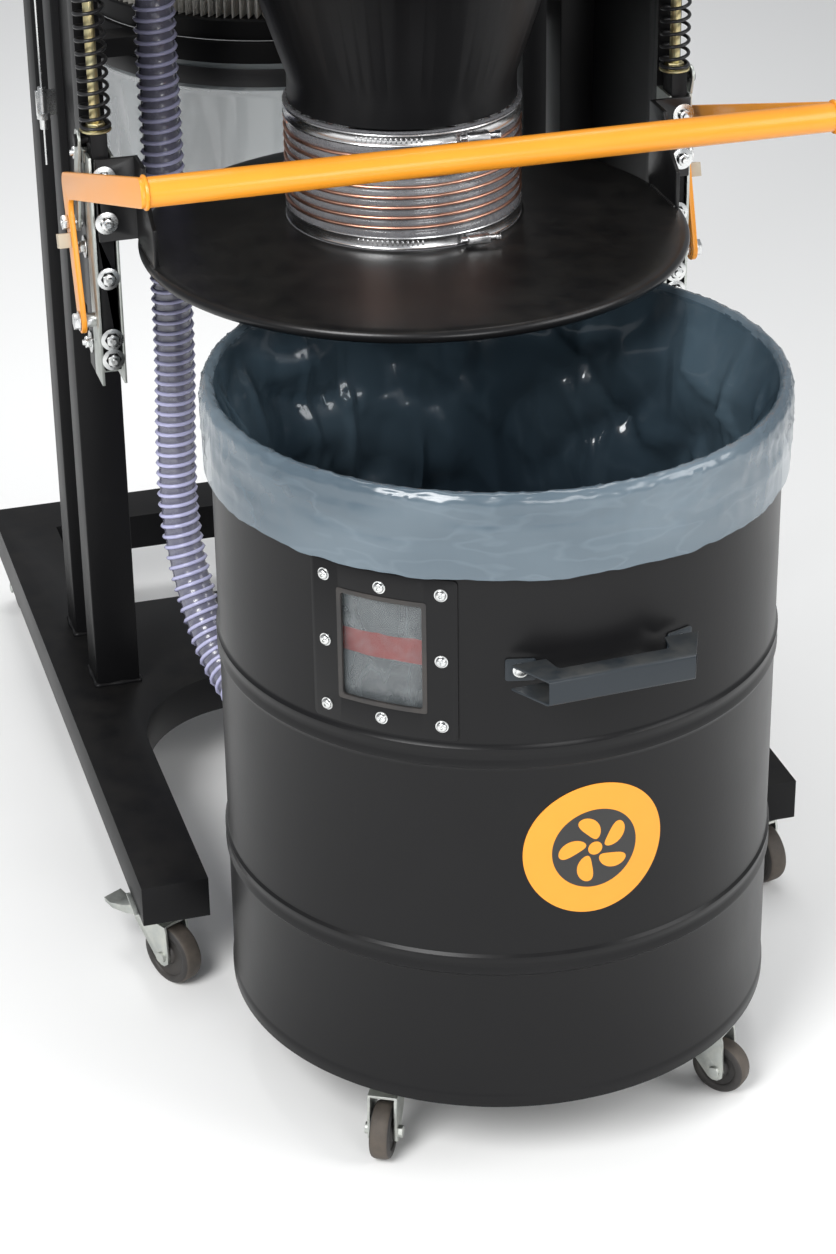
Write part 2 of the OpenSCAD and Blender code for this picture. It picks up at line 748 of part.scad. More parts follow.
module drum_window_frame() {
  color([0.08, 0.08, 0.085])
  at_drum() difference() {
    shell_patch(drum_r, drum_r + 2, win_a, win_z - 1, 156, 176);
    on_drum(win_a, win_z) box([drum_r - 20, -window_w / 2, -window_h / 2], [drum_r + 20, window_w / 2, window_h / 2]);
  }
}

module drum_window() {
  color([0.70, 0.75, 0.78, 0.35])
  at_drum() shell_patch(drum_r - drum_t - 2.5, drum_r - drum_t - 0.5, win_a, win_z, 120, 145);
}

module window_screws() {
  color([0.78, 0.79, 0.80])
  at_drum()
  for (i = [-1, 0, 1]) for (j = [-1, 0, 1]) if (abs(i) + abs(j) > 0)
    on_drum(win_a + i * 12, win_z - 1 + j * 72) translate([drum_r + 2, 0, 0]) intersection() {
      rotate([0, 90, 0]) cylinder(r = 5.5, h = 6);
      translate([-2.2, 0, 0]) sphere(r = 7.6);
    }
}

module handle_flange(z) {
  translate([0, 0, z]) linear_extrude(2.5) rotate(-90) difference() {
    polygon([[-98, drum_r - 30], [-98, drum_r - 8], [-76, drum_r + 46], [76, drum_r + 46], [98, drum_r - 8], [98, drum_r - 30]]);
    circle(r = drum_r + 0.3);
    polygon([[-76, drum_r - 40], [-76, drum_r - 5], [-58, drum_r + 24], [58, drum_r + 24], [76, drum_r - 5], [76, drum_r - 40]]);
  }
}

module drum_handle() {
  color([0.16, 0.18, 0.21])
  at_drum() on_drum(han_a, han_z) {
    handle_flange(11.5);
    handle_flange(-14);
    box([drum_r + 43.5, -76, -14], [drum_r + 46, 76, 14]);
    for (s = [-1, 1]) intersection() {
      translate([0, 0, -12.5]) ring(drum_r + 0.3, drum_r + 2.8, 25);
      rotate([0, 0, s * 16.4]) box([250, -8, -12.5], [330, 8, 12.5]);
    }
  }
}

module drum_emblem() {
  color([0.93, 0.62, 0.16])
  at_drum() on_drum(emb_a, emb_z) intersection() {
    translate([0, 0, -120]) ring(drum_r, drum_r + 0.6, 240);
    rotate([0, 90, 0]) cylinder(r = emblem_d / 2, h = 400);
  }
}

module liner_bag() {
  color([0.50, 0.56, 0.62, 0.6])
  at_drum() {
    translate([0, 0, drum_top - 5]) difference() {
      torus(drum_r, 6.2);
      torus(drum_r, 4.6);
      translate([0, 0, -20]) cylinder(r = drum_r + 30, h = 20);
    }
    translate([0, 0, drum_top - 84]) ring(drum_r + 4.8, drum_r + 6.2, 79);
    translate([0, 0, drum_z + 8]) ring(drum_r - 7.2, drum_r - 5.7, drum_h - 13);
    translate([0, 0, drum_z + 8]) cylinder(r = drum_r - 7, h = 1.5);
  }
}

module drum_port() {
  color([0.10, 0.10, 0.11])
  at_drum() on_drum(port_a, port_z) {
    difference() {
      rotate([0, 90, 0]) cylinder(r = 22, h = drum_r + 48);
      rotate([0, 90, 0]) cylinder(r = 19.5, h = drum_r + 60);
      translate([0, 0, -60]) cylinder(r = drum_r - drum_t + 1, h = 120);
    }
    intersection() {
      translate([0, 0, -60]) ring(drum_r + 0.05, drum_r + 3, 120);
      difference() {
        rotate([0, 90, 0]) cylinder(r = 38, h = 400);
        rotate([0, 90, 0]) cylinder(r = 21.9, h = 400);
      }
    }
  }
}

/* ---- free hose ---- */

function unit(v) = v / norm(v);
function hp(i) = hose_route[min(max(i, 0), len(hose_route) - 1)];
function spl(a, b, c, d, t) = 0.5 * (2 * b + (c - a) * t + (2 * a - 5 * b + 4 * c - d) * t * t + (3 * b - a - 3 * c + d) * t * t * t);
hose_sub = 3;
hose_n = (len(hose_route) - 1) * hose_sub;
function hpt(k) = let (i = min(floor(k / hose_sub), len(hose_route) - 2), t = k / hose_sub - i)
  spl(hp(i - 1), hp(i), hp(i + 1), hp(i + 2), t);
function htan(k) = unit(hpt(min(k + 0.2, hose_n)) - hpt(max(k - 0.2, 0)));
function hside(k) = unit(cross([1, 0.2, 0.1], htan(k)));
function hring(k, r) = let (p = hpt(k), u = hside(k), w = cross(htan(k), u))
  [for (j = [0:11]) p + r * (cos(j * 30) * u + sin(j * 30) * w)];

module drum_hose() {
  color([0.55, 0.55, 0.66, 0.7])
  polyhedron(
    points = [for (k = [0:hose_n]) each hring(k, hose_r)],
    faces = concat(
      [[for (j = [0:11]) j]],
      [for (k = [0:hose_n - 1]) for (j = [0:11])
        [k * 12 + j, (k + 1) * 12 + j, (k + 1) * 12 + (j + 1) % 12, k * 12 + (j + 1) % 12]],
      [[for (j = [11:-1:0]) hose_n * 12 + j]]),
    convexity = 6);
}

translate([sx, sy, 0]) {
  base_frame();
  posts();
  top_frame();
  guide_channels();
  guide_bolts();
  cable_adjuster();
  base_caster_plates();
  cyclone();
  blower_housing();
  motor_housing();
  transfer_duct();
  filter_head();
  filter_canister();
  filter_bracket();
  collection_bag();
  bag_clamp();
  control_box();
  vacuum_pipe();
  outlet_band();
  impeller();
  cleaning_crank();
  start_button();
  stop_button();
  lid();
  lid_gasket();
  lid_brackets();
  carriage_bars();
  spring_rods();
  lid_springs();
  coupling_hose();
  lid_band();
  lever();
  lever_bolts();
  lift_links();
  drum();
  drum_window_frame();
  drum_window();
  window_screws();
  drum_handle();
  drum_emblem();
  liner_bag();
  drum_port();
  drum_caster_plates();
  drum_hose();
  base_fork(0);  // base_fork_fl
  base_fork(1);  // base_fork_fr
  base_fork(2);  // base_fork_rl
  base_fork(3);  // base_fork_rr
  base_wheel(0);  // base_wheel_fl
  base_wheel(1);  // base_wheel_fr
  base_wheel(2);  // base_wheel_rl
  base_wheel(3);  // base_wheel_rr
  drum_fork(0);  // drum_fork_fl
  drum_fork(1);  // drum_fork_fr
  drum_fork(2);  // drum_fork_rl
  drum_fork(3);  // drum_fork_rr
  drum_wheel(0);  // drum_wheel_fl
  drum_wheel(1);  // drum_wheel_fr
  drum_wheel(2);  // drum_wheel_rl
  drum_wheel(3);  // drum_wheel_rr
}
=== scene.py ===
import json
import math
import bpy
import numpy as np
from mathutils import Matrix, Vector
from mathutils import noise as wavy

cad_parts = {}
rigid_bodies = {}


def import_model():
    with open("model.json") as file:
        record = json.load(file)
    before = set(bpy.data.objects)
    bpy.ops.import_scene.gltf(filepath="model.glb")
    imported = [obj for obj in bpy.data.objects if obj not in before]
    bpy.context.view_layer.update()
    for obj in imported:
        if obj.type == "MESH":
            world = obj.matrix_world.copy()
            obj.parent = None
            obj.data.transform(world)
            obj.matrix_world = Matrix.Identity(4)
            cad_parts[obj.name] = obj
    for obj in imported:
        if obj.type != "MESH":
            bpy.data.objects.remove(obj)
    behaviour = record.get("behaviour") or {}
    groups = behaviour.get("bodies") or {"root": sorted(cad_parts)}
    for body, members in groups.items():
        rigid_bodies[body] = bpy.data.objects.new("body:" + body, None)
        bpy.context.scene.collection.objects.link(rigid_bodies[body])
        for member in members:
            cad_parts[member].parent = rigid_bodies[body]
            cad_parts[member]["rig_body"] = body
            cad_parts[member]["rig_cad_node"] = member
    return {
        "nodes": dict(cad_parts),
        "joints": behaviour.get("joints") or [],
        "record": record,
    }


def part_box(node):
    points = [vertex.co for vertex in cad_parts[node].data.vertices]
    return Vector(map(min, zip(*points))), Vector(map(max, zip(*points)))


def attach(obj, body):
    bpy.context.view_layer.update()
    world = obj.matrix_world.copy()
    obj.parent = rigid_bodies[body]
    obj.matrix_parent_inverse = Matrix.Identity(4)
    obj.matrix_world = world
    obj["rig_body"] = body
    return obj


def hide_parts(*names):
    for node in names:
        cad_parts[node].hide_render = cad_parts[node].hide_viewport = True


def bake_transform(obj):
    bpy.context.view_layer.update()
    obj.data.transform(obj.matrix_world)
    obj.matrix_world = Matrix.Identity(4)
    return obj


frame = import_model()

for spare in [obj for obj in bpy.data.objects if obj.name in ("Cube", "Light", "Camera")]:
    bpy.data.objects.remove(spare)
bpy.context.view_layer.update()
nodeBody = {node: body for body, nodes in frame["record"]["behaviour"]["bodies"].items() for node in nodes}


def middle(node):
    low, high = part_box(node)
    return (low[0] + high[0]) / 2, (low[1] + high[1]) / 2


lidX, lidY = middle("lid")
drumX, drumY = middle("drum")
mm = 0.001
wallRadius = 295  # outside of the drum's wall, in millimetres


def at(x, y, z):  # millimetres from the lid's axis and the floor
    return Vector((lidX + x * mm, lidY + y * mm, z * mm))


def onDrum(angle, radius, z):  # degrees and millimetres about the drum's axis
    turn = math.radians(angle)
    return Vector((drumX + radius * mm * math.cos(turn), drumY + radius * mm * math.sin(turn), z * mm))


camera = {"place": (-889.2, -3121.2, 2061.8), "turn": (62.0998741, 0.74155105, -16.26166269), "lens": 89.457}


def makeCamera():
    data = bpy.data.cameras.new("Camera")
    data.lens, data.sensor_width = camera["lens"], 36
    data.clip_end = 60
    eye = bpy.data.objects.new("Camera", data)
    bpy.context.scene.collection.objects.link(eye)
    eye.location = at(*camera["place"])
    eye.rotation_euler = [math.radians(turn) for turn in camera["turn"]]
    bpy.context.scene.camera = eye


makeCamera()
print("camera in place")


# modelling helpers, all of them used the way one would by hand
def clearSelection():
    if bpy.context.object and bpy.context.object.mode != "OBJECT":
        bpy.ops.object.mode_set(mode="OBJECT")
    bpy.ops.object.select_all(action="DESELECT")


def pick(obj):
    clearSelection()
    obj.select_set(True)
    bpy.context.view_layer.objects.active = obj
    return obj


def settle(name):
    obj = bpy.context.object
    obj.name = obj.data.name = name
    bpy.ops.object.transform_apply(location=True, rotation=True, scale=True)
    return obj


def addBlock(name, low, high):
    clearSelection()
    bpy.ops.mesh.primitive_cube_add(size=1, location=(low + high) / 2)
    bpy.context.object.scale = high - low
    return settle(name)


def addRod(name, start, end, radius, vertices=32, capRadius=None):
    clearSelection()
    line = end - start
    bpy.ops.mesh.primitive_cone_add(vertices=vertices, radius1=radius,
                                    radius2=radius if capRadius is None else capRadius, depth=line.length,
                                    location=(start + end) / 2, rotation=line.to_track_quat("Z", "Y").to_euler())
    return settle(name)


def addNut(name, start, end, width):  # width across the flats
    return addRod(name, start, end, width / math.sqrt(3), 6)


def join(name, objs):
    pick(objs[0])
    for obj in objs:
        obj.select_set(True)
    bpy.ops.object.join()
    joined = bpy.context.object
    joined.name = joined.data.name = name
    return joined


def applyModifier(obj, kind, **settings):
    pick(obj)
    mod = obj.modifiers.new(kind.title(), kind)
    for key, value in settings.items():
        setattr(mod, key, value)
    bpy.ops.object.modifier_apply(modifier=mod.name)
    return obj


def cutAway(obj, *tools):  # takes the tools' shapes out of a piece and deletes the tools
    for tool in tools:
        applyModifier(obj, "BOOLEAN", operation="DIFFERENCE", object=tool, solver="EXACT")
        bpy.data.objects.remove(tool)
    return obj


def bevel(obj, width, segments=2, angle=32):
    return applyModifier(obj, "BEVEL", width=width, segments=segments, limit_method="ANGLE",
                         angle_limit=math.radians(angle))


def editMesh(obj, *steps):
    # each step is an operator and its settings, run on the whole mesh in edit mode
    pick(obj)
    bpy.ops.object.mode_set(mode="EDIT")
    bpy.ops.mesh.select_mode(type="VERT")
    for operator, settings in steps:
        bpy.ops.mesh.select_all(action="SELECT")
        operator(**settings)
    bpy.ops.object.mode_set(mode="OBJECT")
    return obj


def flatShape(name, points):  # one flat face through the points
    clearSelection()
    bpy.ops.mesh.primitive_circle_add(vertices=len(points), radius=1, fill_type="NGON")
    shape = settle(name)
    for vertex, point in zip(shape.data.vertices, points):
        vertex.co = point
    return shape


def raised(obj, move):  # a flat face pulled out into a solid
    return editMesh(obj, (bpy.ops.mesh.extrude_region_move, {"TRANSFORM_OT_translate": {"value": move}}),
                    (bpy.ops.mesh.normals_make_consistent, {"inside": False}))


def sliced(obj, places):  # cut across X, so that the part can follow a curve
    for x in places:
        editMesh(obj, (bpy.ops.mesh.bisect, {"plane_co": (x, 0, 0), "plane_no": (1, 0, 0)}))
    return obj


def rolledOnDrum(obj, angle, inner, z, merge):  # rolls a flat part, laid in X and Y, round the drum's wall
    for vertex in obj.data.vertices:
        turn = math.radians(angle) + vertex.co.x / (wallRadius * mm)
        radius = inner * mm + vertex.co.z
        vertex.co = (drumX + radius * math.cos(turn), drumY + radius * math.sin(turn), z * mm + vertex.co.y)
    return mergeAndFaceOut(obj, merge)


def outOfDrum(angle, radius, z):  # stands a part on the drum's wall, its own Z pointing outwards
    spot = onDrum(angle, radius, z)
    out = (spot - Vector((drumX, drumY, spot.z))).normalized()
    return Matrix.Translation(spot) @ out.to_track_quat("Z", "Y").to_matrix().to_4x4()


def mergeAndFaceOut(obj, distance=0.00002):
    return editMesh(obj, (bpy.ops.mesh.remove_doubles, {"threshold": distance}),
                    (bpy.ops.mesh.normals_make_consistent, {"inside": False}))


def chooseFaces(obj, test):
    # leaves edit mode open with the faces selected whose centre and normal pass the test
    pick(obj)
    for part in (obj.data.vertices, obj.data.edges, obj.data.polygons):
        part.foreach_set("select", [False] * len(part))
    for face in obj.data.polygons:
        face.select = test(face.center, face.normal)
    bpy.ops.object.mode_set(mode="EDIT")
    bpy.ops.mesh.select_mode(type="FACE")


def spun(name, profile, centre, steps=96, turn=360, closed=False):
    # profile points are radius and height in millimetres; one point is extruded along them and then spun
    clearSelection()
    start = Vector((centre[0] + profile[0][0] * mm, centre[1], profile[0][1] * mm))
    bpy.ops.mesh.primitive_plane_add(size=0.01, location=start)
    obj = settle(name)
    bpy.ops.object.mode_set(mode="EDIT")
    bpy.ops.mesh.select_mode(type="VERT")
    bpy.ops.mesh.select_all(action="SELECT")
    bpy.ops.mesh.merge(type="CENTER")
    before = profile[0]
    for point in profile[1:]:
        move = ((point[0] - before[0]) * mm, 0, (point[1] - before[1]) * mm)
        bpy.ops.mesh.extrude_vertices_move(TRANSFORM_OT_translate={"value": move})
        before = point
    if closed:
        bpy.ops.mesh.select_all(action="SELECT")
        bpy.ops.mesh.remove_doubles(threshold=0.000001)
    bpy.ops.mesh.select_all(action="SELECT")
    bpy.ops.mesh.spin(steps=steps, angle=math.radians(turn), center=(centre[0], centre[1], 0), axis=(0, 0, 1))
    bpy.ops.object.mode_set(mode="OBJECT")
    return mergeAndFaceOut(obj)


def arcPoints(x, z, radius, start, end, count):
    # points of an arc in a profile, angles in degrees
    angles = [math.radians(start + (end - start) * i / (count - 1)) for i in range(count)]
    return [(x + radius * math.cos(a), z + radius * math.sin(a)) for a in angles]


def copyOf(obj, name, matrix):
    pick(obj)
    bpy.ops.object.duplicate(linked=False)
    other = bpy.context.object
    other.name = other.data.name = name
    other.data.transform(matrix)
    if matrix.determinant() < 0:
        other.data.flip_normals()
    return other


def mirrored(obj, name):  # to the other side of the lid's centre line
    flip = Matrix.Translation((lidX, 0, 0)) @ Matrix.Scale(-1, 4, (1, 0, 0)) @ Matrix.Translation((-lidX, 0, 0))
    return copyOf(obj, name, flip)


def meshFrom(name, points, faces):
    mesh = bpy.data.meshes.new(name)
    mesh.from_pydata([tuple(p) for p in points], [], faces)
    obj = bpy.data.objects.new(name, mesh)
    bpy.context.scene.collection.objects.link(obj)
    return obj


def gridFaces(rows, columns, closed):
    wrap = columns if closed else columns - 1
    return [(i * columns + j, i * columns + (j + 1) % columns, (i + 1) * columns + (j + 1) % columns,
             (i + 1) * columns + j) for i in range(rows - 1) for j in range(wrap)]


def smoothLine(points, step):
    # Catmull-Rom line through the points, about one point each step
    pts = [Vector(p) for p in points]
    line = []
    for i in range(len(pts) - 1):
        a, b, c, d = pts[max(i - 1, 0)], pts[i], pts[i + 1], pts[min(i + 2, len(pts) - 1)]
        count = max(1, round((c - b).length / step))
        for k in range(count):
            t = k / count
            line.append(0.5 * (2 * b + (c - a) * t + (2 * a - 5 * b + 4 * c - d) * t * t
                               + (3 * b - a - 3 * c + d) * t ** 3))
    return line + [pts[-1]]


def tube(name, line, radius, sides=10, capped=True):
    # a tube along a line of points; radius is one number or a function of the distance along it
    points, faces, along = [], [], 0.0
    side = Vector((1, 0.2, 0.1))
    for i, p in enumerate(line):
        ahead = (line[min(i + 1, len(line) - 1)] - line[max(i - 1, 0)]).normalized()
        side = (side - ahead * side.dot(ahead)).normalized()
        other = ahead.cross(side)
        along += (p - line[i - 1]).length if i else 0
        r = radius(along) if callable(radius) else radius
        for j in range(sides):
            a = 2 * math.pi * j / sides
            points.append(p + r * (math.cos(a) * side + math.sin(a) * other))
    faces = gridFaces(len(line), sides, True)
    if capped:
        faces += [tuple(reversed(range(sides))), tuple(range((len(line) - 1) * sides, len(line) * sides))]
    return meshFrom(name, points, faces)


def helix(centre, radius, start, end, turns, perTurn=28):
    steps = int(turns * perTurn)
    return [Vector((centre[0] + radius * math.cos(2 * math.pi * i / perTurn),
                    centre[1] + radius * math.sin(2 * math.pi * i / perTurn),
                    start + (end - start) * i / steps)) for i in range(steps + 1)]


def softenedCopy(node, name, width, segments=2, angle=32):
    # a merged and bevelled copy of a CAD node, to stand in its place
    pick(frame["nodes"][node])
    bpy.ops.object.duplicate(linked=False)
    obj = bpy.context.object
    obj.name = obj.data.name = name
    obj.parent = None
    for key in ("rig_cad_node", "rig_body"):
        if key in obj:
            del obj[key]
    editMesh(obj, (bpy.ops.mesh.remove_doubles, {"threshold": 0.00002}),
             (bpy.ops.mesh.dissolve_limited, {"angle_limit": math.radians(0.6)}))
    return bevel(obj, width, segments, angle) if width else obj


def softenedPiece(node, name, width, finish, smooth=35):  # the same, finished; width in millimetres
    piece = softenedCopy(node, name, width * mm)
    return finishPiece(piece, nodeBody[node], finish, [node], smooth)


def finishPiece(obj, body, finish, hides=(), smooth=35):
    obj.data.materials.clear()
    obj.data.materials.append(finish)
    pick(obj)
    bpy.ops.object.shade_smooth_by_angle(angle=math.radians(smooth))
    if body:
        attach(obj, body)
    if hides:
        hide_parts(*hides)
    return obj


# shader helpers: a wrapped socket, so that shader maths reads as sums
class Wire:
    def __init__(self, tree, socket):
        self.tree, self.socket = tree, socket

    def maths(self, operation, first, second=None):
        node = self.tree.nodes.new("ShaderNodeMath")
        node.operation = operation
        for place, value in zip(node.inputs, (first, second)):
            if isinstance(value, Wire):
                self.tree.links.new(value.socket, place)
            elif value is not None:
                place.default_value = value
        return Wire(self.tree, node.outputs[0])

    def __add__(self, other):
        return self.maths("ADD", self, other)

    def __sub__(self, other):
        return self.maths("SUBTRACT", self, other)

    def __rsub__(self, other):
        return self.maths("SUBTRACT", other, self)

    def __mul__(self, other):
        return self.maths("MULTIPLY", self, other)

    def __truediv__(self, other):
        return self.maths("DIVIDE", self, other)

    def clip(self):
        return self.maths("MAXIMUM", self.maths("MINIMUM", self, 1.0), 0.0)

    def above(self, edge, soft):  # 0 below the edge, 1 above it, over a soft step
        return ((self - (edge - soft / 2)) / soft).clip()

    __radd__, __rmul__ = __add__, __mul__


class Finish:
    def __init__(self, name, **fixed):
        self.material = bpy.data.materials.new(name)
        self.material.use_nodes = True
        self.tree = self.material.node_tree
        self.shader = self.tree.nodes["Principled BSDF"]
        for key, value in fixed.items():
            self.shader.inputs[key.replace("_", " ")].default_value = value
        self.coords = self.node("ShaderNodeTexCoord", out="Object")

    def node(self, kind, settings=None, inputs=None, out=0):
        node = self.tree.nodes.new(kind)
        for key, value in (settings or {}).items():
            if key == "stops":
                for place, colour in zip(node.color_ramp.elements, value):
                    place.position, place.color = colour[0], (*colour[1], 1)
            else:
                setattr(node, key, value)
        for key, value in (inputs or {}).items():
            if isinstance(value, Wire):
                self.tree.links.new(value.socket, node.inputs[key])
            else:
                node.inputs[key].default_value = value
        return Wire(self.tree, node.outputs[out])

    def feed(self, **varying):
        for key, value in varying.items():
            self.tree.links.new(value.socket, self.shader.inputs[key.replace("_", " ")])
        return self

    def spread(self, stretch=(1, 1, 1), centre=(0, 0, 0)):
        return self.node("ShaderNodeMapping", None, {"Vector": self.coords, "Scale": stretch,
                         "Location": tuple(-c * s for c, s in zip(centre, stretch))})

    def noise(self, scale, detail=3.0, rough=0.5, stretch=(1, 1, 1), distortion=0.0):
        return self.node("ShaderNodeTexNoise", None, {"Vector": self.spread(stretch), "Scale": scale,
                         "Detail": detail, "Roughness": rough, "Distortion": distortion})

    def axis(self, letter, wire=None):
        return self.node("ShaderNodeSeparateXYZ", None, {"Vector": wire or self.coords}, out=letter)

    def facing(self, letter):
        return self.axis(letter, self.node("ShaderNodeNewGeometry", out="Normal"))

    def blend(self, factor, first, second):
        node = self.tree.nodes.new("ShaderNodeMix")
        node.data_type = "RGBA"
        for place, value in ((0, factor), (6, first), (7, second)):
            if isinstance(value, Wire):
                self.tree.links.new(value.socket, node.inputs[place])
            else:
                node.inputs[place].default_value = value if place == 0 else (*value, 1)
        return Wire(self.tree, node.outputs[2])

    def bump(self, height, depth, strength=1.0):
        self.feed(Normal=self.node("ShaderNodeBump", None, {"Height": height, "Distance": depth,
                                                            "Strength": strength}))
        return self


# finishes: each takes the look of one kind of surface, with its own numbers
def paint(name, colour, rough, grain=700, depth=0.00005, dust=0.12, scuff=0.35, coat=0.0, shine=0.3):
    look = Finish(name, Coat_Weight=coat, Coat_Roughness=0.2, Specular_IOR_Level=shine)
    patches = look.noise(7, 4, 0.6)
    orangePeel = look.noise(grain, 2, 0.5)
    dusty = look.facing("Z").above(0.75, 0.4) * look.noise(28, 5, 0.65).above(0.5, 0.35) * dust
    scratches = look.noise(34, 6, 0.7, stretch=(1, 1, 0.25), distortion=0.6).above(0.68, 0.05) * scuff
    shade = look.blend(patches * 0.5, colour, tuple(c * 1.35 + 0.002 for c in colour))
    shade = look.blend(scratches, shade, tuple(c * 1.6 + 0.018 for c in colour))
    shade = look.blend(dusty, shade, (0.30, 0.27, 0.22))
    look.feed(Base_Color=shade, Roughness=(patches * 0.14 + (rough - 0.06) + dusty * 1.2 + scratches * 0.2).clip())
    return look.bump(orangePeel + patches * 0.3 - scratches * 0.5, depth, 0.6).material


def plated(name, colour, tint, rough, streak=(1, 1, 1), scale=30, depth=0.00002, wear=0.35):
    look = Finish(name, Metallic=1.0)
    clouds = look.noise(scale, 5, 0.65, streak, 0.4)
    fine = look.noise(scale * 14, 3, 0.6, streak)
    stains = look.noise(9, 5, 0.7).above(0.56, 0.2) * wear
    shade = look.blend(clouds.above(0.5, 0.5), colour, tint)
    shade = look.blend(stains, shade, tuple(c * 0.42 for c in colour))
    look.feed(Base_Color=shade, Roughness=(clouds * 0.2 + fine * 0.1 + (rough - 0.1) + stains * 0.25).clip())
    return look.bump(fine * 0.6 + clouds, depth, 0.5).material


def plastic(name, colour, rough, grain=500, depth=0.00003, metallic=0.0):
    look = Finish(name, Metallic=metallic)
    broad, fine = look.noise(14, 4, 0.6), look.noise(grain, 3, 0.6)
    smears = look.noise(5, 5, 0.6, distortion=0.8).above(0.55, 0.2)
    look.feed(Base_Color=look.blend(broad, colour, tuple(c * 1.2 + 0.003 for c in colour)),
              Roughness=(broad * 0.12 + smears * 0.12 + (rough - 0.08)).clip())
    return look.bump(fine + broad * 0.4, depth, 0.5).material


def film(name, colour, crease, alpha, rough, scale=16, depth=0.004, stretch=(1, 1, 1), coat=0.4, deep=None):
    look = Finish(name, Coat_Weight=coat, Coat_Roughness=0.08)
    folds = look.noise(scale * 0.6, 2, 0.4, stretch, 0.15)
    crinkle = look.noise(scale * 1.6, 2, 0.45, stretch, 0.2)
    # thin ridge lines along the crinkles: a small bump, and in the colour a painted highlight
    ridgeHighlights = (1 - crinkle.maths("ABSOLUTE", crinkle - 0.5) * 26).clip()
    shade = look.blend(folds.above(0.52, 0.4), colour, crease)
    # painted highlight: the crease ridges are painted a lighter tone
    shade = look.blend(ridgeHighlights * 0.12, shade, tuple(min(1, c * 1.5 + 0.03) for c in crease))
    # painted shade: below the given height the film is darkened towards near-black, for the shade low in the drum
    if deep:
        shade = look.blend((1 - look.axis("Z").above(*deep[:2])) * 0.85, shade, deep[2])
    look.feed(Base_Color=shade, Roughness=(crinkle * 0.14 + (rough - 0.06)).clip(),
              Alpha=(folds * 0.2 + (alpha - 0.1)).clip())
    return look.bump(folds + ridgeHighlights * 0.06, depth, 0.5).material


def clearWall(name, colour, alpha, rough):
    look = Finish(name, Coat_Weight=0.5, Coat_Roughness=0.06)
    haze, fine = look.noise(11, 4, 0.6), look.noise(90, 3, 0.6)
    dust = look.noise(42, 5, 0.7).above(0.58, 0.2)
    look.feed(Base_Color=look.blend(haze, colour, tuple(c * 1.25 + 0.02 for c in colour)),
              Roughness=(haze * 0.18 + dust * 0.2 + (rough - 0.05)).clip(),
              Alpha=(haze * 0.16 + dust * 0.14 + (alpha - 0.08)).clip())
    return look.bump(fine + haze, 0.0004, 0.5).material


def rubber(name, colour, rough, worn=0.0):
    look = Finish(name)
    grain, broad = look.noise(420, 3, 0.6), look.noise(24, 5, 0.65)
    grey = look.blend(broad.above(0.5, 0.4) * (0.25 + worn * 0.6), colour, (0.11, 0.09, 0.072))
    look.feed(Base_Color=grey, Roughness=(broad * 0.16 + (rough - 0.08)).clip())
    return look.bump(grain + broad * 0.5, 0.00012, 0.6).material


def pleatFabric(name):
    look = Finish(name, Sheen_Weight=0.3)
    fibres, cloud = look.noise(900, 4, 0.7), look.noise(9, 4, 0.6)
    dusty = look.axis("Z").above(1.15, 0.5)
    shade = look.blend(cloud * 0.6, (0.70, 0.71, 0.68), (0.80, 0.80, 0.78))
    look.feed(Base_Color=look.blend((1 - dusty) * 0.45 * cloud, shade, (0.48, 0.38, 0.26)),
              Roughness=(fibres * 0.1 + 0.82).clip())
    return look.bump(fibres, 0.0002, 0.6).material


blackPaint = paint("painted black", (0.0055, 0.0055, 0.0060), 0.40, dust=0.02, scuff=0.08, shine=0.16)
drumPaint = paint("drum black", (0.0055, 0.0055, 0.0060), 0.33, grain=260, depth=0.00007, dust=0.04, scuff=0.10,
                  coat=0.06, shine=0.16)
lidPaint = paint("lid black", (0.0060, 0.0060, 0.0065), 0.30, grain=420, depth=0.00005, dust=0.03, scuff=0.08,
                 coat=0.12, shine=0.28)
motorPaint = paint("motor black", (0.012, 0.012, 0.013), 0.48, grain=900, depth=0.00012)
orangePaint = paint("lever orange", (0.72, 0.270, 0.020), 0.34, dust=0.05, scuff=0.10, grain=520, depth=0.00005,
                    coat=0.3)
emblemPrint = paint("emblem orange", (0.70, 0.275, 0.028), 0.38, grain=1500, depth=0.00001, dust=0, scuff=0.08)
slatePaint = paint("handle slate", (0.016, 0.021, 0.026), 0.36, grain=800, depth=0.00007, dust=0.12)
boxPaint = paint("box grey", (0.50, 0.51, 0.51), 0.42, dust=0.05, scuff=0.08)
springPaint = paint("spring black", (0.012, 0.012, 0.013), 0.28, dust=0.04)
zincPlate = plated("zinc plate", (0.45, 0.48, 0.46), (0.62, 0.64, 0.60), 0.36, scale=22)
zincCast = plated("caster zinc", (0.50, 0.53, 0.51), (0.66, 0.67, 0.62), 0.38, scale=60, wear=0.5)
boltPlate = plated("bolt zinc", (0.62, 0.64, 0.65), (0.74, 0.74, 0.72), 0.22, scale=80, wear=0.2)
yellowPlate = plated("yellow zinc", (0.62, 0.47, 0.20), (0.60, 0.60, 0.40), 0.30, scale=60, wear=0.15)
stainless = plated("stainless", (0.66, 0.66, 0.67), (0.74, 0.74, 0.74), 0.20, streak=(0.3, 0.3, 8), scale=50,
                   wear=0.05)
aluminium = plated("cast aluminium", (0.42, 0.43, 0.44), (0.52, 0.52, 0.53), 0.45, scale=90, depth=0.0001)
copperWire = plated("copper wire", (0.72, 0.36, 0.26), (0.80, 0.48, 0.36), 0.26, scale=60, wear=0.1)
blackPlastic = plastic("black plastic", (0.010, 0.010, 0.011), 0.42)
violetHelix = plastic("hose helix", (0.46, 0.46, 0.66), 0.22, grain=300)
redPlastic = plastic("red plastic", (0.55, 0.02, 0.015), 0.24)
greenPlastic = plastic("green plastic", (0.02, 0.26, 0.07), 0.24)
beigePlastic = plastic("stop beige", (0.42, 0.36, 0.27), 0.5, grain=240, depth=0.0001)
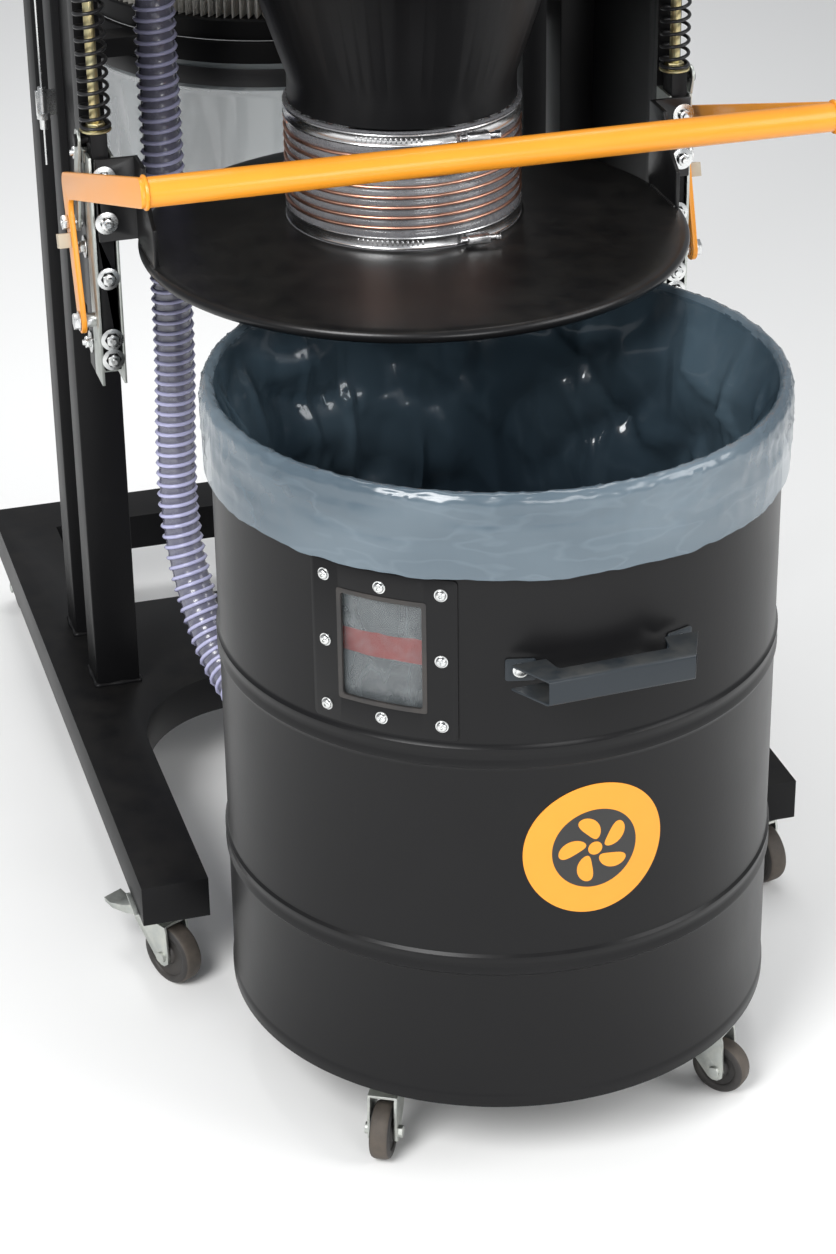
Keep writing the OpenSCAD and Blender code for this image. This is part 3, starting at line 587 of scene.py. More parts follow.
printBlack = plastic("print black", (0.012, 0.012, 0.012), 0.42, grain=1500, depth=0.00001)
redStripe = film("red stripe", (0.13, 0.010, 0.008), (0.20, 0.020, 0.015), 0.96, 0.3, depth=0.001)
# the liner's inside has painted shade, darkening to near-black below about 0.6 m
linerFilm = film("liner film", (0.036, 0.062, 0.085), (0.085, 0.130, 0.165), 0.74, 0.15, scale=9,
                 stretch=(1, 1, 0.6), depth=0.003, coat=0.8, deep=(0.60, 0.24, (0.006, 0.010, 0.016)))
cuffFilm = film("cuff film", (0.085, 0.120, 0.150), (0.145, 0.190, 0.225), 0.84, 0.22, scale=7, stretch=(1, 1, 3),
                depth=0.002)
windowFilm = film("window film", (0.075, 0.085, 0.090), (0.15, 0.165, 0.175), 0.86, 0.25, scale=14,
                  stretch=(1, 1, 0.4), depth=0.002)
bagFilm = film("bag film", (0.34, 0.39, 0.41), (0.50, 0.55, 0.56), 0.50, 0.22, scale=8, stretch=(1, 1, 0.3),
               depth=0.006)
clearSheet = clearWall("clear sheet", (0.20, 0.22, 0.23), 0.08, 0.10)
clearHose = clearWall("clear hose", (0.16, 0.16, 0.17), 0.66, 0.14)
smallHose = clearWall("small hose wall", (0.15, 0.15, 0.20), 0.80, 0.16)
blackRubber = rubber("black rubber", (0.013, 0.013, 0.014), 0.55)
wornRubber = rubber("worn tread", (0.045, 0.038, 0.032), 0.70, worn=1.0)
foamRubber = rubber("gasket foam", (0.010, 0.010, 0.010), 0.88)
filterCloth = pleatFabric("filter cloth")
print("finishes ready")


# cords come first: the clear hose between the rigid pipe and the drum's port
smallHoseSize = {"radius": 0.0222, "rib": 0.0025, "pitch": 0.0131, "sides": 28}
hoseRoute = [(-225, 270, 1149.5), (-225, 270, 1080), (-225, 270, 960), (-224, 270, 840), (-222, 270, 720),
             (-223, 269, 600), (-228, 264, 500), (-230, 256, 415), (-225, 238, 345), (-215, 203, 281),
             (-202, 160, 238), (-186, 111, 216), (-175.5, 62, 210), (-167.86, 27.12, 210), (-150.96, -9.14, 210)]


def frames(line):
    # side and cross directions carried along a line without twist
    side, result = Vector((1, 0.2, 0.1)), []
    for i, p in enumerate(line):
        ahead = (line[min(i + 1, len(line) - 1)] - line[max(i - 1, 0)]).normalized()
        side = (side - ahead * side.dot(ahead)).normalized()
        result.append((side.copy(), ahead.cross(side)))
    return result


def makeSmallHose():
    size = smallHoseSize
    line = smoothLine([at(*p) for p in hoseRoute], size["pitch"] / 4)
    around = frames(line)
    steps = np.concatenate([[0], np.cumsum([(b - a).length for a, b in zip(line, line[1:])])])
    points = []
    for i, p in enumerate(line):
        for j in range(size["sides"]):
            a = 2 * math.pi * j / size["sides"]
            wave = 0.5 + 0.5 * math.cos(2 * math.pi * (steps[i] / size["pitch"]) - a)
            r = size["radius"] - 0.0012 + 0.0012 * wave
            points.append(p + r * (math.cos(a) * around[i][0] + math.sin(a) * around[i][1]))
    wall = meshFrom("vacuumHose", points, gridFaces(len(line), size["sides"], True))
    # the helix that stiffens it, wound on the same line
    length, rib = float(steps[-1]), []
    perTurn = 16
    count = int(length / size["pitch"] * perTurn)
    for k in range(count + 1):
        s = length * k / count
        i = min(int(np.searchsorted(steps, s, side="right")) - 1, len(line) - 2)
        t = (s - steps[i]) / (steps[i + 1] - steps[i])
        p = line[i].lerp(line[i + 1], t)
        u, v = around[i][0].lerp(around[i + 1][0], t), around[i][1].lerp(around[i + 1][1], t)
        a = 2 * math.pi * k / perTurn
        rib.append(p + (size["radius"] + 0.0004) * (math.cos(a) * u + math.sin(a) * v))
    helixRib = tube("vacuumHoseHelix", rib, size["rib"], 6)
    for obj, look in ((wall, smallHose), (helixRib, violetHelix)):
        mergeAndFaceOut(obj, 0.000001)
        finishPiece(obj, None, look, smooth=80)
        tuple(at(-222, 270, 770))
        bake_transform(obj)
    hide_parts("drum_hose")
    path = [tuple(p) for p in line[::2]] + ([tuple(line[-1])] if len(line) % 2 == 0 else [])
    print("vacuum hose", round(length, 3), "m")


makeSmallHose()


# drum: a spun shell with pressed bands, a rolled rim and a window cut through it
drumSize = {"steps": 160, "window": (-129.8, 624, 90, 117), "plate": (156, 176)}  # window: angle, z, width, height
portSize = {"angle": 115, "z": 210, "bore": 20.5}


def pressedBand(low, high, out):
    # outline of a raised band, two soft ridges with a shallow groove between them
    m = (low + high) / 2
    return [(295, low - 3), (295.5, low), (295 + out, low + 3), (295 + out, low + 6), (295 + out * 0.45, low + 10),
            (295 + out * 0.4, m), (295 + out * 0.45, high - 10), (295 + out, high - 6), (295 + out, high - 3),
            (295.5, high), (295, high + 3)]


def makeDrum():
    outer = [(0, 96), (276, 96), (281, 98.5), (289, 98.5), (292, 95.5), (295, 95), (296.4, 96), (296.6, 103),
             (296.4, 108.4), (295.6, 110.2), (295, 113)]
    outer += [(295, 180)] + pressedBand(260, 286, 3) + [(295, 395)] + pressedBand(503.6, 530.3, 2.6) + [(295, 700)]
    outer += [(295, 791)] + arcPoints(295, 798, 4.6, -60, 200, 14)
    inner = [(293, 793), (293, 400), (293, 112), (290, 100), (0, 99)]
    shell = spun("drumShell", outer + inner, (drumX, drumY), drumSize["steps"])
    angle, z, width, height = drumSize["window"]
    cutter = addBlock("windowCutter", Vector((0.275, -width * mm / 2, (z - height / 2) * mm)),
                      Vector((0.315, width * mm / 2, (z + height / 2) * mm)))
    cutter.data.transform(Matrix.Translation((drumX, drumY, 0)) @ Matrix.Rotation(math.radians(angle), 4, "Z"))
    angle, z = portSize["angle"], portSize["z"]
    port = addRod("portCutter", onDrum(angle, 270, z), onDrum(angle, 320, z), portSize["bore"] * mm, 40)
    cutAway(shell, cutter, port)
    finishPiece(shell, "drum", drumPaint, ["drum"], 28)
    print("drum spun")


def wallPatch(name, angle, z, width, height, inner, outer, hole=None, corner=8, step=4.0):
    # a thin curved plate on the drum's wall, with rounded corners, as a subdivided plane wrapped round it
    clearSelection()
    bpy.ops.mesh.primitive_plane_add(size=1, location=(0, 0, 0))
    plate = bpy.context.object
    plate.scale = (width * mm, height * mm, 1)
    settle(name)
    editMesh(plate, (bpy.ops.mesh.bevel, {"offset": corner * mm, "segments": 6, "affect": "VERTICES"}))
    if hole:
        cutter = addBlock("cutter", Vector((-hole[0] / 2 * mm, -hole[1] / 2 * mm, -0.02)),
                          Vector((hole[0] / 2 * mm, hole[1] / 2 * mm, 0.02)))
        editMesh(cutter, (bpy.ops.mesh.bevel, {"offset": 0.003, "segments": 3, "affect": "EDGES"}))
    thickness = (outer - inner) * mm
    raised(plate, (0, 0, thickness))
    if hole:
        cutAway(plate, cutter)
    bevel(plate, min(0.0006, thickness * 0.3), 2)
    sliced(plate, [(-width / 2 + k * step) * mm for k in range(1, int(width / step))])
    return rolledOnDrum(plate, angle, inner, z, 0.00001)


def makeWindow():
    angle, z, width, height = drumSize["window"]
    plate = wallPatch("windowFrame", angle, z - 1, *drumSize["plate"], 295, 297, (width - 1, height - 1), 5)
    finishPiece(plate, "drum", drumPaint, ["drum_window_frame"])
    trim = wallPatch("windowGasket", angle, z, width + 5, height + 5, 294, 297.8, (width - 5, height - 5), 3)
    finishPiece(trim, "drum", blackRubber)
    sheet = wallPatch("windowSheet", angle, z, 120, 145, 290.6, 292.4, None, 4)
    finishPiece(sheet, "drum", clearSheet, ["drum_window"])
    # button heads with a socket, modelled once and copied round the frame
    head = spun("screwHead", [(0, 1.0), (1.5, 1.0), (1.8, 3.4), (2.6, 3.6), (4.0, 3.1), (5.0, 2.1), (5.4, 0.9),
                              (5.5, 0.0), (6.6, 0.0), (6.6, -0.8), (0, -0.8)], (0, 0), 20)
    heads = []
    for i in (-1, 0, 1):
        for j in (-1, 0, 1):
            if i or j:
                heads.append(copyOf(head, "screw", outOfDrum(angle + i * 12, 297.8, z - 1 + j * 72)))
    bpy.data.objects.remove(head)
    screws = mergeAndFaceOut(join("windowScrews", heads), 0.000001)
    finishPiece(screws, "drum", boltPlate, ["window_screws"], 40)
    print("window fitted")


handleSize = {"angle": -86.6, "z": 616, "half": 76, "front": 341, "height": 28, "sheet": 2.5}


def makeHandle():
    # folded sheet: a block with tapered ends, opened at its back and sides, thickened, then cut away in the middle
    h, mid = handleSize, handleSize["height"] / 2
    low, high = Vector((296.5, -h["half"], -mid)) * mm, Vector((h["front"], h["half"], mid)) * mm
    grip = addBlock("drumHandle", low, high)
    chooseFaces(grip, lambda centre, normal: normal.x < -0.9)
    bpy.ops.transform.resize(value=(1, 98 / h["half"], 1))
    bpy.ops.mesh.delete(type="FACE")
    bpy.ops.object.mode_set(mode="OBJECT")
    chooseFaces(grip, lambda centre, normal: abs(normal.y) > 0.7)
    bpy.ops.mesh.delete(type="FACE")
    bpy.ops.object.mode_set(mode="OBJECT")
    bevel(grip, 0.0035, 4, 60)
    applyModifier(grip, "SOLIDIFY", thickness=h["sheet"] * mm, offset=-1)
    # the middle of both flanges is cut away by a prism, and the back follows the wall
    cutter = addBlock("flangeCutter", Vector((0.22, -0.076, -0.03)), Vector((0.319, 0.076, 0.03)))
    chooseFaces(cutter, lambda centre, normal: normal.x > 0.9)
    bpy.ops.transform.resize(value=(1, 58 / 76, 1))
    bpy.ops.object.mode_set(mode="OBJECT")
    editMesh(cutter, (bpy.ops.mesh.bevel, {"offset": 0.004, "segments": 4, "affect": "EDGES"}))
    wall = addRod("wallCutter", Vector((0, 0, -0.05)), Vector((0, 0, 0.05)), 0.2953, 160)
    bevel(cutAway(grip, cutter, wall), 0.0005, 2)
    grip.data.transform(Matrix.Translation((drumX, drumY, h["z"] * mm))
                        @ Matrix.Rotation(math.radians(h["angle"]), 4, "Z"))
    feet = []
    for side in (-1, 1):
        feet.append(wallPatch("foot", h["angle"] + side * 16.4, h["z"], 30, 24, 295.3, 297.6, None, 3))
    pads = join("handleFeet", feet)
    finishPiece(grip, "drum", slatePaint, ["drum_handle"], 30)
    finishPiece(pads, "drum", slatePaint)
    bolts = []
    for side in (-1, 1):
        turn = h["angle"] + side * 16.4
        head = addNut("bolt", onDrum(turn, 297.4, h["z"]), onDrum(turn, 302.4, h["z"]), 0.010)
        washer = addRod("washer", onDrum(turn, 297.2, h["z"]), onDrum(turn, 298.6, h["z"]), 0.0078, 28)
        bolts += [bevel(head, 0.0006), bevel(washer, 0.0003)]
    finishPiece(join("handleBolts", bolts), "drum", boltPlate)
    print("handle folded")


emblemSize = {"angle": -88, "z": 403, "radius": 75, "dark": 45, "hub": 7.5, "blades": 5}


def makeEmblem():
    # a plain round disc with a ring and a five bladed fan, all laid on the wall
    angle, z = emblemSize["angle"], emblemSize["z"]

    def laid(name, outline, inner, outer):
        shape = raised(flatShape(name, [(x * mm, y * mm, 0) for x, y in outline]), (0, 0, (outer - inner) * mm))
        return rolledOnDrum(sliced(shape, [k * 0.0041 for k in range(-18, 19)]), angle, inner, z, 0.000001)

    def circle(r, count=72):
        return [(r * math.cos(2 * math.pi * i / count), r * math.sin(2 * math.pi * i / count)) for i in range(count)]

    disc = laid("emblemDisc", circle(emblemSize["radius"] - 0.5, 96), 295.05, 295.6)
    finishPiece(disc, "drum", emblemPrint, ["drum_emblem"], 20)
    dark = [laid("emblemDark", circle(emblemSize["dark"]), 295.6, 295.75)]
    finishPiece(dark[0], "drum", printBlack, smooth=20)
    blades = [laid("hub", circle(emblemSize["hub"], 32), 295.75, 295.9)]
    for k in range(emblemSize["blades"]):
        outline = []
        for i in range(33):  # a teardrop blade, swept to one side
            t = i / 32 * 2 * math.pi
            reach, wide = 24.5 + 14 * math.cos(t), 9.0 * math.sin(t) * (1 + 0.35 * math.cos(t))
            a = math.radians(360 / emblemSize["blades"] * k + 90 + 0.9 * (reach - 14)) + wide / max(reach, 12)
            outline.append((reach * math.cos(a), reach * math.sin(a)))
        blades.append(laid("blade", outline[:-1], 295.75, 295.9))
    finishPiece(join("emblemFan", blades), "drum", emblemPrint, smooth=20)
    print("emblem laid")


makeDrum()
makeWindow()
makeHandle()
makeEmblem()


# liner: one film over the rim, a cuff outside and loose folds inside down to the bottom
linerSize = {"columns": 340, "cuff": 84, "rim": 798, "floor": 104.5}


def ruffle(x, y, z):  # smooth noise about 0, one unit is about one wave
    return wavy.noise(Vector((x, y, z)))


def crease(x, y, z):  # 0 on flat parts, 1 on sharp folds
    return max(0.0, 1 - abs(ruffle(x, y, z)) * 5)


def makeLiner():
    n, rim = linerSize["columns"], linerSize["rim"]
    rows = []
    for i in range(17):  # outside, hem to rim
        rows.append(("cuff", i / 16))
    for i in range(1, 12):
        rows.append(("roll", i / 12))
    for i in range(58):
        rows.append(("inside", i / 57))
    for i in range(1, 9):
        rows.append(("floor", i / 8))
    points = []
    for kind, t in rows:
        for j in range(n):
            a = 2 * math.pi * j / n
            cx, cy = 4 * math.cos(a), 4 * math.sin(a)
            if kind == "cuff":
                drop = linerSize["cuff"] + 5 * ruffle(cx * 0.9, cy * 0.9, 3.1) + 2 * ruffle(cx * 5, cy * 5, 1.7)
                z = rim - drop * (1 - t)
                level = z / 17
                belly = 1.6 * ruffle(cx * 0.7, cy * 0.7, level) + 1.5 * crease(cx * 0.55, cy * 0.55, level * 0.8 + 9)
                pull = 1.1 * crease(cx * 3.2, cy * 3.2, level * 0.16 + 4)
                stand = math.sin(math.pi * min(1, 0.22 + 0.75 * (1 - t)))
                r = 301.2 + (1.3 + belly + pull) * stand + 1.2 * (1 - t) ** 6
                gather = 1.4 * crease(cx * 4.6, cy * 4.6, z / 60)
                r += gather * t
            elif kind == "roll":
                turn = math.pi * t
                bulge = 6.2 + 1.3 * crease(cx * 4.2, cy * 4.2, 2 * t + 0.3) + 0.6 * ruffle(cx * 7, cy * 7, 3 * t)
                r = 295 + bulge * math.cos(turn)
                z = rim + bulge * math.sin(turn) * 1.02
            elif kind == "inside":
                z = rim - (rim - linerSize["floor"]) * t ** 1.25
                fade = min(1.0, (rim - z) / 60) * min(1.0, max(0.0, (z - 120) / 60))
                big = ruffle(cx * 0.42 + z / 240, cy * 0.42, z / 170)
                facet = abs(ruffle(cx * 0.62, cy * 0.62 + z / 310, z / 150 + 4)) ** 0.7
                sharp = crease(cx * 0.5 + z / 300, cy * 0.5 - z / 260, z / 190 + 7)
                pleat = crease(cx * 1.1, cy * 1.1, z / 520 + 2)
                edges = max(0.0, 1 - abs(ruffle(cx * 0.8 + z / 210, cy * 0.8 - z / 180, z / 210 + 2)) * 11)
                r = 288.0 - fade * (5 + 16 * max(0, big + 0.25) + 30 * facet - 9 * sharp + 5 * pleat + 7 * edges)
                r -= 0.5 * (ruffle(cx * 2, cy * 2, z / 70) + 0.5) * fade
            else:
                r = 288 * (1 - t) + 0.01
                z = linerSize["floor"] + 3 * abs(ruffle(cx * (1 - t), cy * (1 - t), 8)) * math.sin(math.pi * t)
            points.append((drumX + r * mm * math.cos(a), drumY + r * mm * math.sin(a), z * mm))
    bag = meshFrom("linerBag", points, gridFaces(len(rows), n, True))
    mergeAndFaceOut(bag, 0.00002)
    finishPiece(bag, "drum", cuffFilm, ["liner_bag"], 60)
    bag.data.materials.append(linerFilm)
    for face in bag.data.polygons:
        gap = math.hypot(face.center.x - drumX, face.center.y - drumY)
        if gap < 0.2885:
            face.material_index = 1
    print("liner draped")


def makeWindowFilm():
    # loose film behind the window, with a plain stripe across it
    angle, z, width, height = drumSize["window"]
    columns, rows, points = 44, 56, []
    for i in range(rows):
        for j in range(columns):
            u, v = (j / (columns - 1) - 0.5) * 122, (i / (rows - 1) - 0.5) * 148
            fold = crease(u / 60 + 3, v / 90 + u / 80, 5.0) * 2.2 + crease(u / 34, v / 50 - u / 90, 2.0) * 1.0
            points.append(onDrum(angle + math.degrees(u / 289), 289.8 - 1.3 - fold, z + v))
    sheet = meshFrom("windowFilm", points, gridFaces(rows, columns, False))
    finishPiece(sheet, "drum", windowFilm, smooth=60)
    sheet.data.materials.append(redStripe)
    for face in sheet.data.polygons:
        if abs(face.center.z / mm - z - 1) < 12.5:
            face.material_index = 1
    print("film behind the window")


def makePort():
    # flange and spigot that the hose is pushed on, with a band round the hose's end
    angle, z = portSize["angle"], portSize["z"]
    stub = spun("port", [(19.5, -45), (22, -45), (22, 0), (20.6, 0.5), (20.6, 26), (19.4, 27), (19.4, -45)],
                (0, 0), 48, closed=True)
    base = spun("portFlange", [(22, 0.2), (38, 0.2), (38.4, 1.4), (37.6, 2.6), (24.5, 2.8), (22.4, 5), (22, 5),
                               (22, 0.2)], (0, 0), 48, closed=True)
    stub.data.transform(outOfDrum(angle, 343, z))
    base.data.transform(outOfDrum(angle, 295.6, z))
    clamp = spun("portBand", [(25.0, -8), (26.0, -8.4), (26.4, -7.4), (26.4, -0.6), (26.0, 0.4), (25.0, 0)],
                 (0, 0), 48)
    clamp.data.transform(outOfDrum(angle, 366, z + 1))
    screws = []
    for k in range(4):
        turn = math.radians(45 + 90 * k)
        head = bevel(addNut("screw", Vector((0.031 * math.cos(turn), 0.031 * math.sin(turn), 0.002)),
                            Vector((0.031 * math.cos(turn), 0.031 * math.sin(turn), 0.0062)), 0.007), 0.0004)
        head.data.transform(outOfDrum(angle, 296, z))
        screws.append(head)
    finishPiece(mergeAndFaceOut(join("hosePort", [stub, base])), "drum", blackPlastic, ["drum_port"])
    finishPiece(join("hosePortScrews", screws + [applyModifier(clamp, "SOLIDIFY", thickness=0.0006, offset=0)]),
                "drum", boltPlate)
    print("hose port")


makeLiner()
makeWindowFilm()
makePort()


# lid: a spun pan with a rolled rim, a collar for the duct, weld beads on its brackets
lidSize = {"duct": 123.5, "ductY": 40, "rim": 297, "edge": 836, "roll": 7}


def makeLid():
    ductY = lidSize["ductY"]
    top = [(0, 850.4), (150, 849.6), (215, 847.6), (275, 844.7), (291, 843.6)]
    rim = arcPoints(lidSize["rim"], lidSize["edge"], lidSize["roll"], 78, -95, 12)
    under = [(291, 829.2), (290, 830.5), (290, 840), (286, 841.8), (150, 843.5), (0, 844)]
    pan = spun("lidPan", top + rim + under, (lidX, lidY), 144)
    cutAway(pan, addRod("lidHole", at(0, ductY, 800), at(0, ductY, 880), lidSize["duct"] * mm, 96))
    collar = spun("lidCollar", [(124, 845), (124, 906), (125, 907), (126, 906), (126, 854), (127.5, 851.5),
                                (131, 850.4), (134, 849.8), (134, 848.5), (126, 846), (124, 845)],
                  at(0, ductY, 0).xy, 96, closed=True)
    finishPiece(pan, "lid", lidPaint, ["lid"], 30)
    finishPiece(collar, "lid", lidPaint, smooth=30)
    gasket = spun("lidGasket", [(276, 840.5), (276, 832.5), (278.5, 830.2), (287, 830.2), (289.6, 832.5),
                                (289.6, 840.5), (276, 840.5)], (lidX, lidY), 120, closed=True)
    finishPiece(gasket, "lid", foamRubber, ["lid_gasket"])
    beads = []
    for side in (-1, 1):
        for k in range(16):  # overlapping weld ripples along the bracket's foot
            spot = at(side * 295.6, -30 + k * 4.6, 843.6 + 0.8 * ruffle(k * 1.7, side, 0.3))
            clearSelection()
            bpy.ops.mesh.primitive_uv_sphere_add(segments=12, ring_count=8, radius=0.0042, location=spot)
            bpy.context.object.scale = (1.0 + 0.25 * ruffle(k, 2.2, side), 0.95, 0.7)
            beads.append(settle("bead"))
    welds = join("lidWelds", beads)
    finishPiece(welds, "lid", lidPaint, smooth=70)
    print("lid and gasket")


def bandClamp(name, node, body, radius, low, high):
    # a band with turned edges and a worm screw in its housing
    cx, cy = at(0, lidSize["ductY"], 0).xy
    m = (low + high) / 2
    ring = spun("ring", [(radius, low), (radius + 1.3, low - 0.4), (radius + 1.7, low + 0.8), (radius + 0.9, low + 2),
                         (radius + 0.9, high - 2), (radius + 1.7, high - 0.8), (radius + 1.3, high + 0.4),
                         (radius, high), (radius, low)], (cx, cy), 120, closed=True)
    house = bevel(addBlock("house", at(32, 40 - radius - 12, m - 5), at(58, 40 - radius + 3, m + 5)), 0.002, 3)
    neck = bevel(addRod("neck", at(26, 40 - radius - 5, m), at(64, 40 - radius - 5, m), 0.0034, 24), 0.0004)
    head = bevel(addNut("head", at(64, 40 - radius - 5, m), at(70, 40 - radius - 5, m), 0.0085), 0.0008)
    slots = []
    for k in range(14):
        turn = math.radians(-128 + k * 2.4)
        slot = addBlock("slot", Vector((radius * mm + 0.0008, -0.0011, (m - 2.6) * mm)),
                        Vector((radius * mm + 0.0016, 0.0011, (m + 2.6) * mm)))
        slot.data.transform(Matrix.Translation((cx, cy, 0)) @ Matrix.Rotation(turn, 4, "Z"))
        slots.append(bevel(slot, 0.0003))
    finishPiece(join(name, [ring, house, neck, head] + slots), body, stainless, [node])


couplingSize = {"turns": 8.5, "wire": 1.9, "low": 868, "high": 965}


def makeCoupling():
    cx, cy = at(0, lidSize["ductY"], 0).xy
    size = couplingSize
    outer = [(126.4, 849), (130.6, 849), (131.6, 850), (129.4, 852), (129.2, 866)]
    pitch = (size["high"] - size["low"]) / size["turns"]
    for k in range(int(size["turns"]) * 4 + 1):
        z = size["low"] + k * pitch / 4
        outer.append((128.2 + 1.3 * math.cos(k * math.pi / 2), z))
    outer += [(129.2, 966.5), (129.4, 980.5), (131.4, 982.2), (130.4, 983), (126.4, 983), (126.4, 849)]
    wall = spun("couplingHose", outer, (cx, cy), 120, closed=True)
    wire = tube("couplingWire", helix((cx, cy), 129.6 * mm, size["low"] * mm, size["high"] * mm, size["turns"], 64),
                size["wire"] * mm, 8)
    for obj, look in ((wall, clearHose), (wire, copperWire)):
        finishPiece(obj, None, look, smooth=60)
        tuple(at(0, 40, 866))
        tuple(at(0, 40, 966))
        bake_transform(obj)
    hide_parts("coupling_hose")
    bandClamp("lidBand", "lid_band", "lid", 129.6, 852, 865)
    bandClamp("outletBand", "outlet_band", "frame", 129.6, 967, 980)
    print("coupling and clamps")


springSize = {"x": 333, "y": 82, "radius": 15.6, "wire": 2.1, "turns": 10}


def makeSprings():
    radius = springSize["radius"] * mm
    for side, name in ((-1, "springLeft"), (1, "springRight")):
        c = at(side * springSize["x"], springSize["y"], 0)
        flat = helix((c.x, c.y), radius, 969.3 * mm, 970.2 * mm, 1, 24)
        coils = helix((c.x, c.y), radius, 970.2 * mm, 1116.6 * mm, springSize["turns"], 24)
        last = helix((c.x, c.y), radius, 1116.6 * mm, 1117.6 * mm, 1, 24)
        spring = tube(name, flat + coils[1:] + last[1:], springSize["wire"] * mm, 10)
        finishPiece(spring, None, springPaint, ["lid_springs"] if side < 0 else (), 60)
        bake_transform(spring)
        washer = spun("springWasher", [(6.6, 964), (16.6, 964), (17.4, 964.7), (17.4, 966.4), (16.6, 967.1),
                                       (6.6, 967.1), (6.6, 964)], (c.x, c.y), 48, closed=True)
        rod = addRod("springRod", Vector((c.x, c.y, 0.9632)), Vector((c.x, c.y, 1.176)), 0.006, 24)
        nut = addNut("springNut", Vector((c.x, c.y, 0.9672)), Vector((c.x, c.y, 0.9735)), 0.019)
        parts = [washer, bevel(rod, 0.001), bevel(nut, 0.0008)]
        finishPiece(join("springRod" + ("Left" if side < 0 else "Right"), parts), "lid", yellowPlate,
                    ["spring_rods"] if side < 0 else ())
    print("springs")


makeLid()
makeCoupling()
makeSprings()


# lever: flat arms cut to an L, a round bar between them
leverSize = {"pivot": (84, 745), "tilt": -18, "x": (358, 364), "reach": 465, "bar": 15}


def alongLever(y, z):  # a point of the lever's own outline, turned to where it stands
    a = math.radians(leverSize["tilt"])
    return (leverSize["pivot"][0] + y * math.cos(a) - z * math.sin(a),
            leverSize["pivot"][1] + y * math.sin(a) + z * math.cos(a))


def cutPlate(name, outline, low, high):
    # a plate across the machine, from an outline of y and z points in millimetres
    return raised(flatShape(name, [at(low, y, z) for y, z in outline]), ((high - low) * mm, 0, 0))


def makeLever():
    low, high = leverSize["x"]
    reach = leverSize["reach"]
    outline = arcPoints(0, 0, 14, 180, 360, 13) + arcPoints(-2, 149, 16, 0, 90, 9)
    outline += arcPoints(-reach - 3, 153, 12, 90, 180, 7) + arcPoints(-reach - 3, 147, 12, 180, 270, 7)
    outline += arcPoints(-28, 121, 14, 90, 0, 8)
    outline = [alongLever(y, z) for y, z in outline]
    right = cutPlate("armRight", outline, low, high)
    bevel(right, 0.0009, 3)
    left = mirrored(right, "armLeft")
    y, z = alongLever(-reach, 150)
    bar = addRod("bar", at(-low - 0.6, y, z), at(low + 0.6, y, z), leverSize["bar"] * mm, 56)
    bevel(bar, 0.0012, 3)
    welds = []
    for side in (-1, 1):
        clearSelection()
        bpy.ops.mesh.primitive_torus_add(location=at(side * (low - 0.4), y, z), rotation=(0, math.pi / 2, 0),
                                         major_radius=0.0152, minor_radius=0.0024, major_segments=56,
                                         minor_segments=10)
        weld = settle("weld")
        for vertex in weld.data.vertices:
            away = vertex.co - at(side * (low - 0.4), y, z)
            vertex.co += away.normalized() * 0.0009 * ruffle(math.atan2(away.y, away.z) * 5, side, 1)
        welds.append(weld)
    finishPiece(join("lever", [right, left, bar] + welds), "lever", orangePaint, ["lever"], 30)
    print("lever")


def boltSet(name, spots, body, finish, hides=()):
    # each spot is a washer and a hexagon with a domed end: centre x, y, z, direction and across flats
    parts = []
    for x, y, z, way, width, height in spots:
        way = Vector(way)
        start = at(x, y, z)
        washer = bevel(addRod("washer", start, start + way * 0.0016, width * 0.00098, 32), 0.0003)
        nut = addNut("nut", start + way * 0.0016, start + way * (0.0016 + height * mm), width * mm)
        bevel(nut, 0.0007, 2)
        tip = addRod("tip", start + way * (0.0016 + height * mm), start + way * (0.0046 + height * mm),
                     width * 0.0003, 20, width * 0.00023)
        parts += [washer, nut, tip]
    obj = join(name, parts)
    return finishPiece(obj, body, finish, hides)


def makeLift():
    # channels, links, carriage and their fastenings
    softenedPiece("guide_channels", "guideChannels", 0.7, zincPlate)
    softenedPiece("lift_links", "liftLinks", 0.5, zincPlate)
    softenedPiece("carriage_bars", "carriageBars", 0.9, blackPaint)
    hex7 = []
    for side in (-1, 1):
        for z in (800, 728, 704):
            hex7.append((side * 333, 61, z, (0, -1, 0), 13, 5))
    boltSet("carriageBolts", hex7, "lid", boltPlate)
    softenedPiece("lid_brackets", "lidBrackets", 0.9, lidPaint)
    face = []
    for side in (-1, 1):
        for z in (869, 921):
            face.append((side * 333, 50, z, (0, -1, 0), 13, 6))
    boltSet("bracketBolts", face, "lid", boltPlate)
    softenedPiece("guide_bolts", "guideBolts", 0.6, boltPlate)
    ends = softenedPiece("lever_bolts", "leverBolts", 0.6, boltPlate)
    ends.data.materials.append(beigePlastic)
    stopY, stopZ = alongLever(0, 90)
    for part in ends.data.polygons:
        near = part.center - at(0, stopY, stopZ)
        if math.hypot(near.y, near.z) < 0.0116 and abs(part.center.x - lidX) > 0.3645:
            part.material_index = 1
    edge = []
    for side in (-1, 1):
        for y, z in ((115, 930), (115, 706), (115, 820)):
            edge.append((side * 347.2, y, z, (side, 0, 0), 13, 5.5))
    boltSet("channelBolts", edge, "frame", boltPlate)
    print("lift parts")


makeLever()
makeLift()


